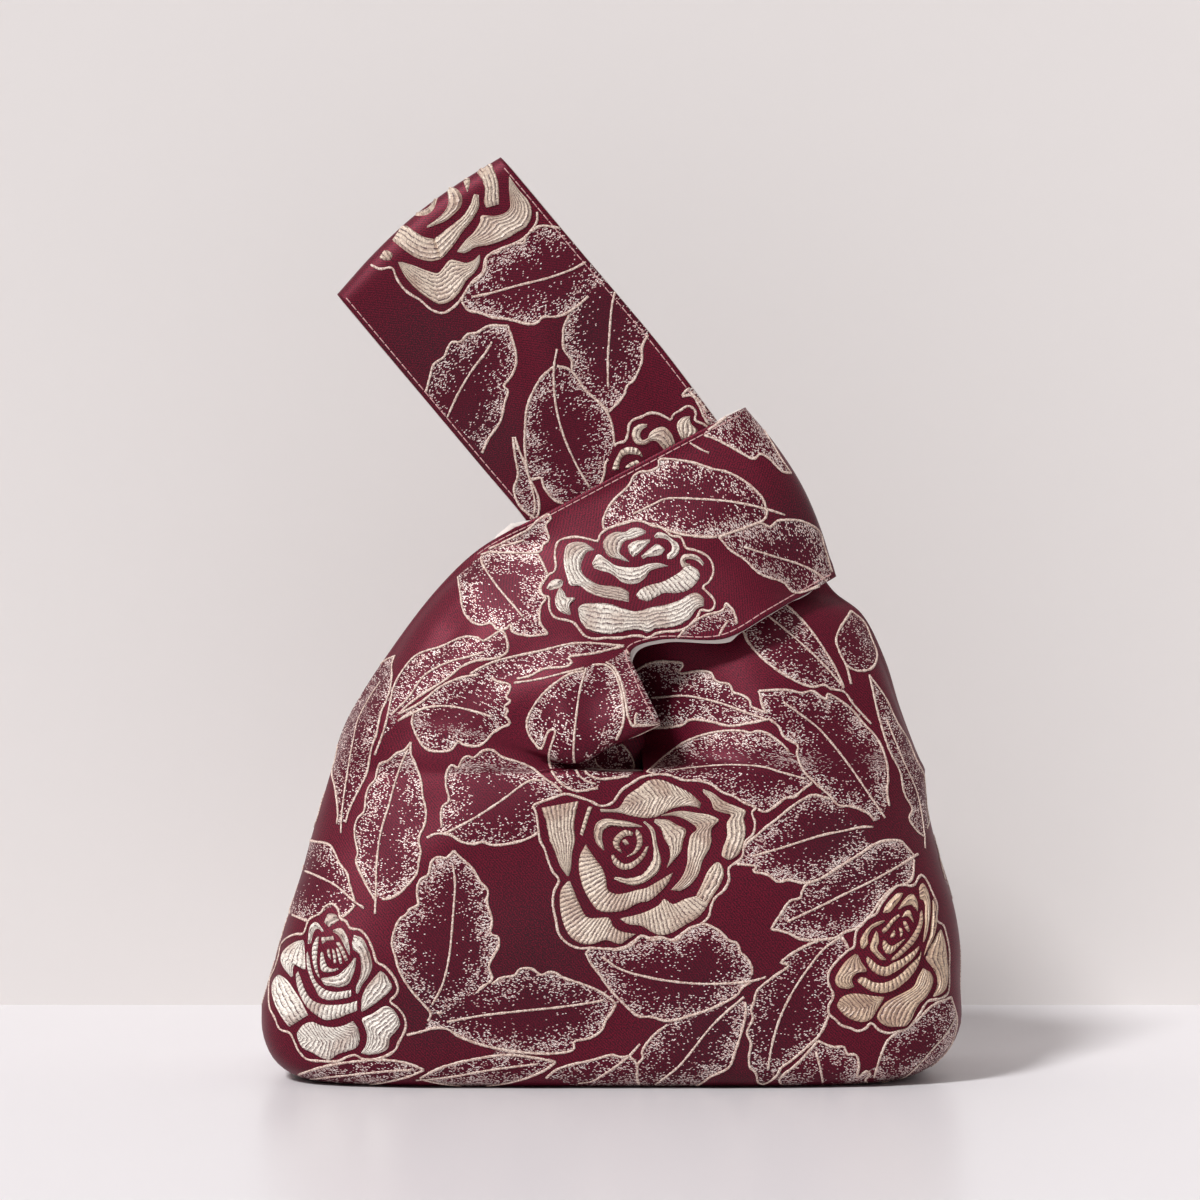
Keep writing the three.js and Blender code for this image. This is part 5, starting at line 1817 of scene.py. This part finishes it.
def settle(piece, node):
    """Ties a finished piece to the bag and hides the solid node that it stands for."""
    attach(piece, "root")
    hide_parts(node)


# Faces and motifs, which are worked out once and used for several pieces
BUILT = {}


def faces():
    """The front and back faces of the bag."""
    if "faces" not in BUILT:
        BUILT["faces"] = bag_faces()
    return BUILT["faces"]


def motifs_of(facing):
    """The roses and leaves on one panel."""
    if "motifs" not in BUILT:
        BUILT["motifs"] = plan_motifs(faces())
    own = list(faces()[facing].values())
    return [motif for motif in BUILT["motifs"] if motif.view.strips[0] in own]


class KnotBagCloth(bpy.types.PropertyGroup):
    brocade_thickness: bpy.props.FloatProperty(
        name="Brocade Thickness", description="Thickness of the outer cloth", default=0.0009, unit="LENGTH",
    )
    lining_thickness: bpy.props.FloatProperty(
        name="Lining Thickness", description="Thickness of the lining cloth", default=0.0005, unit="LENGTH",
    )
    yarn_width: bpy.props.FloatProperty(
        name="Yarn Width", description="Width of the yarn that outlines the motifs", default=0.00095,
        unit="LENGTH",
    )
    petal_lift: bpy.props.FloatProperty(
        name="Petal Lift", description="Height of the thread petals over the cloth", default=0.0009,
        unit="LENGTH",
    )
    stitch_length: bpy.props.FloatProperty(
        name="Stitch Length", description="Length of one topstitch", default=0.0027, unit="LENGTH",
    )
    stitch_gap: bpy.props.FloatProperty(
        name="Stitch Gap", description="Gap between two topstitches", default=0.0005, unit="LENGTH",
    )
    ground_colour: bpy.props.FloatVectorProperty(
        name="Ground Colour", description="Colour of the brocade's ground", default=CRIMSON, size=4,
        subtype="COLOR",
    )
    yarn_colour: bpy.props.FloatVectorProperty(
        name="Yarn Colour", description="Colour of the yarn that outlines the motifs", default=YARN, size=4,
        subtype="COLOR",
    )
    lining_colour: bpy.props.FloatVectorProperty(
        name="Lining Colour", description="Colour of the lining cloth", default=LINING, size=4,
        subtype="COLOR",
    )


class KnotBagStage(bpy.types.PropertyGroup):
    floor_size: bpy.props.FloatProperty(
        name="Floor Size", description="Side of the floor", default=40.0, unit="LENGTH",
    )
    wall_distance: bpy.props.FloatProperty(
        name="Wall Distance", description="Distance of the wall behind the bag's middle", default=0.189,
        unit="LENGTH",
    )
    floor_colour: bpy.props.FloatVectorProperty(
        name="Floor Colour", description="Colour of the floor", default=FLOOR, size=4, subtype="COLOR",
    )


FACINGS = ("front", "back")


class KNOTBAG_OT_panels(bpy.types.Operator):
    """Adds the front and back brocade panels"""
    bl_idname = "knotbag.panels"
    bl_label = "Add Panels"

    def execute(self, context):
        cloth = context.scene.knot_bag_cloth
        material = brocade_material(cloth.ground_colour)
        thickness = cloth.brocade_thickness / MM
        for facing in FACINGS:
            piece = cloth_piece(
                f"{facing}_brocade", faces()[facing], 0.0, thickness, material, motifs_of(facing),
            )
            settle(piece, f"{facing}_panel")
        return {"FINISHED"}


class KNOTBAG_OT_linings(bpy.types.Operator):
    """Adds the front and back linings"""
    bl_idname = "knotbag.linings"
    bl_label = "Add Linings"

    def execute(self, context):
        cloth = context.scene.knot_bag_cloth
        material = plain_material("Lining", cloth.lining_colour, 0.85)
        inset = BROCADE_THICKNESS + LAYER_GAP
        thickness = cloth.lining_thickness / MM
        for facing in FACINGS:
            piece = cloth_piece(f"{facing}_inner", faces()[facing], inset, thickness, material, None)
            settle(piece, f"{facing}_lining")
        return {"FINISHED"}


class KNOTBAG_OT_outlines(bpy.types.Operator):
    """Adds the yarn outlines and midribs of the woven leaves and roses"""
    bl_idname = "knotbag.outlines"
    bl_label = "Add Outlines"

    def execute(self, context):
        cloth = context.scene.knot_bag_cloth
        width = cloth.yarn_width / MM
        material = yarn_material(cloth.yarn_colour)
        for facing in FACINGS:
            piece = yarn_outlines(
                f"{facing}_outlines", motifs_of(facing), material, width, width * YARN_FLATNESS,
            )
            settle(piece, f"{facing}_panel")
        return {"FINISHED"}


class KNOTBAG_OT_roses(bpy.types.Operator):
    """Adds the thread petals of the woven roses"""
    bl_idname = "knotbag.roses"
    bl_label = "Add Roses"

    def execute(self, context):
        lift = context.scene.knot_bag_cloth.petal_lift / MM
        material = petal_material()
        for facing in FACINGS:
            roses = [motif for motif in motifs_of(facing) if isinstance(motif, Rose)]
            piece = rose_petals(f"{facing}_roses", roses, material, lift)
            settle(piece, f"{facing}_panel")
        return {"FINISHED"}


class KNOTBAG_OT_stitching(bpy.types.Operator):
    """Adds the topstitching along the sewn edges of both panels"""
    bl_idname = "knotbag.stitching"
    bl_label = "Add Stitching"

    def execute(self, context):
        cloth = context.scene.knot_bag_cloth
        material = plain_material("Stitch", STITCH, 0.6)
        length, gap = cloth.stitch_length / MM, cloth.stitch_gap / MM
        for facing in FACINGS:
            piece = stitching(f"{facing}_stitches", faces()[facing], material, length, gap)
            settle(piece, f"{facing}_panel")
        return {"FINISHED"}


# Places of the lamps and what they shine at in metres, their powers, and the sizes that soften their shadows
KEY_PLACE = (-2.6, -2.4, 4.2)
KEY_POWER = 3.2
KEY_ANGLE = math.radians(10.5)
FILL_PLACE = (1.2, -1.8, 0.6)
FILL_POWER = 0.8
FILL_SIZE = 1.4
LAMP_TARGET = (0.0, 0.0, 0.12)
# How strongly the world lights the bag, and how bright it looks itself
WORLD_LIGHT = 0.1
WORLD_BRIGHTNESS = 0.72


def add_lamp(name, kind, place, power):
    """A lamp that shines from a place towards the bag's middle."""
    light = bpy.data.lights.new(name, kind)
    light.energy = power
    lamp = bpy.data.objects.new(name, light)
    lamp.location = place
    lamp.rotation_euler = (Vector(LAMP_TARGET) - Vector(place)).to_track_quat("-Z", "Y").to_euler()
    bpy.context.scene.collection.objects.link(lamp)
    return light


def wall_material():
    """Pale plaster that is seen only from the room, so that the bag's back can be looked at through it."""
    material, tree, shader = new_material("Wall")
    set_inputs(tree, shader, {"Base Color": WALL, "Roughness": 0.9})
    behind = add_node(tree, "ShaderNodeNewGeometry").outputs["Backfacing"]
    clear = add_node(tree, "ShaderNodeBsdfTransparent").outputs["BSDF"]
    mixed = add_node(tree, "ShaderNodeMixShader", {0: behind, 1: shader.outputs["BSDF"], 2: clear})
    tree.links.new(mixed.outputs["Shader"], tree.nodes["Material Output"].inputs["Surface"])
    return material


def studio_world():
    """A dim pale world that looks bright itself."""
    world = bpy.data.worlds.new("Studio")
    world.use_nodes = True
    tree = world.node_tree
    rays = add_node(tree, "ShaderNodeLightPath").outputs
    shown = math_node(tree, "MAXIMUM", rays["Is Camera Ray"], rays["Is Glossy Ray"])
    shown = math_node(tree, "MAXIMUM", shown, rays["Is Transmission Ray"])
    strength = map_range(tree, shown, 0.0, 1.0, WORLD_LIGHT, WORLD_BRIGHTNESS)
    set_inputs(tree, tree.nodes["Background"], {"Color": SKY, "Strength": strength})
    return world


def add_screen(name, half, material, distance=None):
    """A square of the stage, which lies flat or stands at a distance behind the bag's middle."""
    bm = bmesh.new()
    for vert in bmesh.ops.create_grid(bm, x_segments=1, y_segments=1, size=half)["verts"]:
        if distance is not None:
            vert.co = (vert.co.x, distance, vert.co.y + half)
    return new_object(name, bm, material, smooth=False)


class KNOTBAG_OT_stage(bpy.types.Operator):
    """Adds the floor, the wall, the lights and the camera"""
    bl_idname = "knotbag.stage"
    bl_label = "Add Stage"

    def execute(self, context):
        stage = context.scene.knot_bag_stage
        half = stage.floor_size / 2
        floor = add_screen("floor", half, plain_material("Floor", stage.floor_colour, 0.3))
        wall = add_screen("wall", half, wall_material(), stage.wall_distance)
        wall.visible_shadow = False
        key = add_lamp("Key", "SUN", KEY_PLACE, KEY_POWER)
        key.angle = KEY_ANGLE
        fill = add_lamp("Fill", "AREA", FILL_PLACE, FILL_POWER)
        fill.shape = "DISK"
        fill.size = FILL_SIZE
        context.scene.world = studio_world()
        camera = bpy.data.cameras.new("Camera")
        camera.sensor_width = SENSOR_MM
        camera.lens = FOCAL_PIXELS / FRAME_PIXELS * SENSOR_MM
        eye = bpy.data.objects.new("Camera", camera)
        eye.location = CAMERA_PLACE * MM
        eye.rotation_euler = (math.pi / 2, 0.0, 0.0)
        context.scene.collection.objects.link(eye)
        context.scene.camera = eye
        context.scene.view_settings.view_transform = "Standard"
        return {"FINISHED"}


class KNOTBAG_PT_sidebar(bpy.types.Panel):
    """Lists the steps that build the bag"""
    bl_idname = "KNOTBAG_PT_sidebar"
    bl_label = "Knot Bag"
    bl_space_type = "VIEW_3D"
    bl_region_type = "UI"
    bl_category = "Knot Bag"

    def draw(self, context):
        for operator in OPERATORS:
            self.layout.operator(operator.bl_idname)
        for name in KnotBagCloth.__annotations__:
            self.layout.prop(context.scene.knot_bag_cloth, name)
        for name in KnotBagStage.__annotations__:
            self.layout.prop(context.scene.knot_bag_stage, name)


OPERATORS = (
    KNOTBAG_OT_stage, KNOTBAG_OT_panels, KNOTBAG_OT_linings, KNOTBAG_OT_outlines, KNOTBAG_OT_roses,
    KNOTBAG_OT_stitching,
)
CLASSES = (KnotBagCloth, KnotBagStage) + OPERATORS + (KNOTBAG_PT_sidebar,)


def register():
    """Makes the operators, the panel and the sizes known to Blender."""
    for cls in CLASSES:
        bpy.utils.register_class(cls)
    bpy.types.Scene.knot_bag_cloth = bpy.props.PointerProperty(type=KnotBagCloth)
    bpy.types.Scene.knot_bag_stage = bpy.props.PointerProperty(type=KnotBagStage)


def unregister():
    """Takes them away again."""
    del bpy.types.Scene.knot_bag_stage
    del bpy.types.Scene.knot_bag_cloth
    for cls in reversed(CLASSES):
        bpy.utils.unregister_class(cls)


def main():
    """Builds the bag on its stage."""
    register()
    bpy.ops.knotbag.stage()
    bpy.ops.knotbag.panels()
    bpy.ops.knotbag.linings()
    bpy.ops.knotbag.outlines()
    bpy.ops.knotbag.roses()
    bpy.ops.knotbag.stitching()


if __name__ == "__main__":
    main()
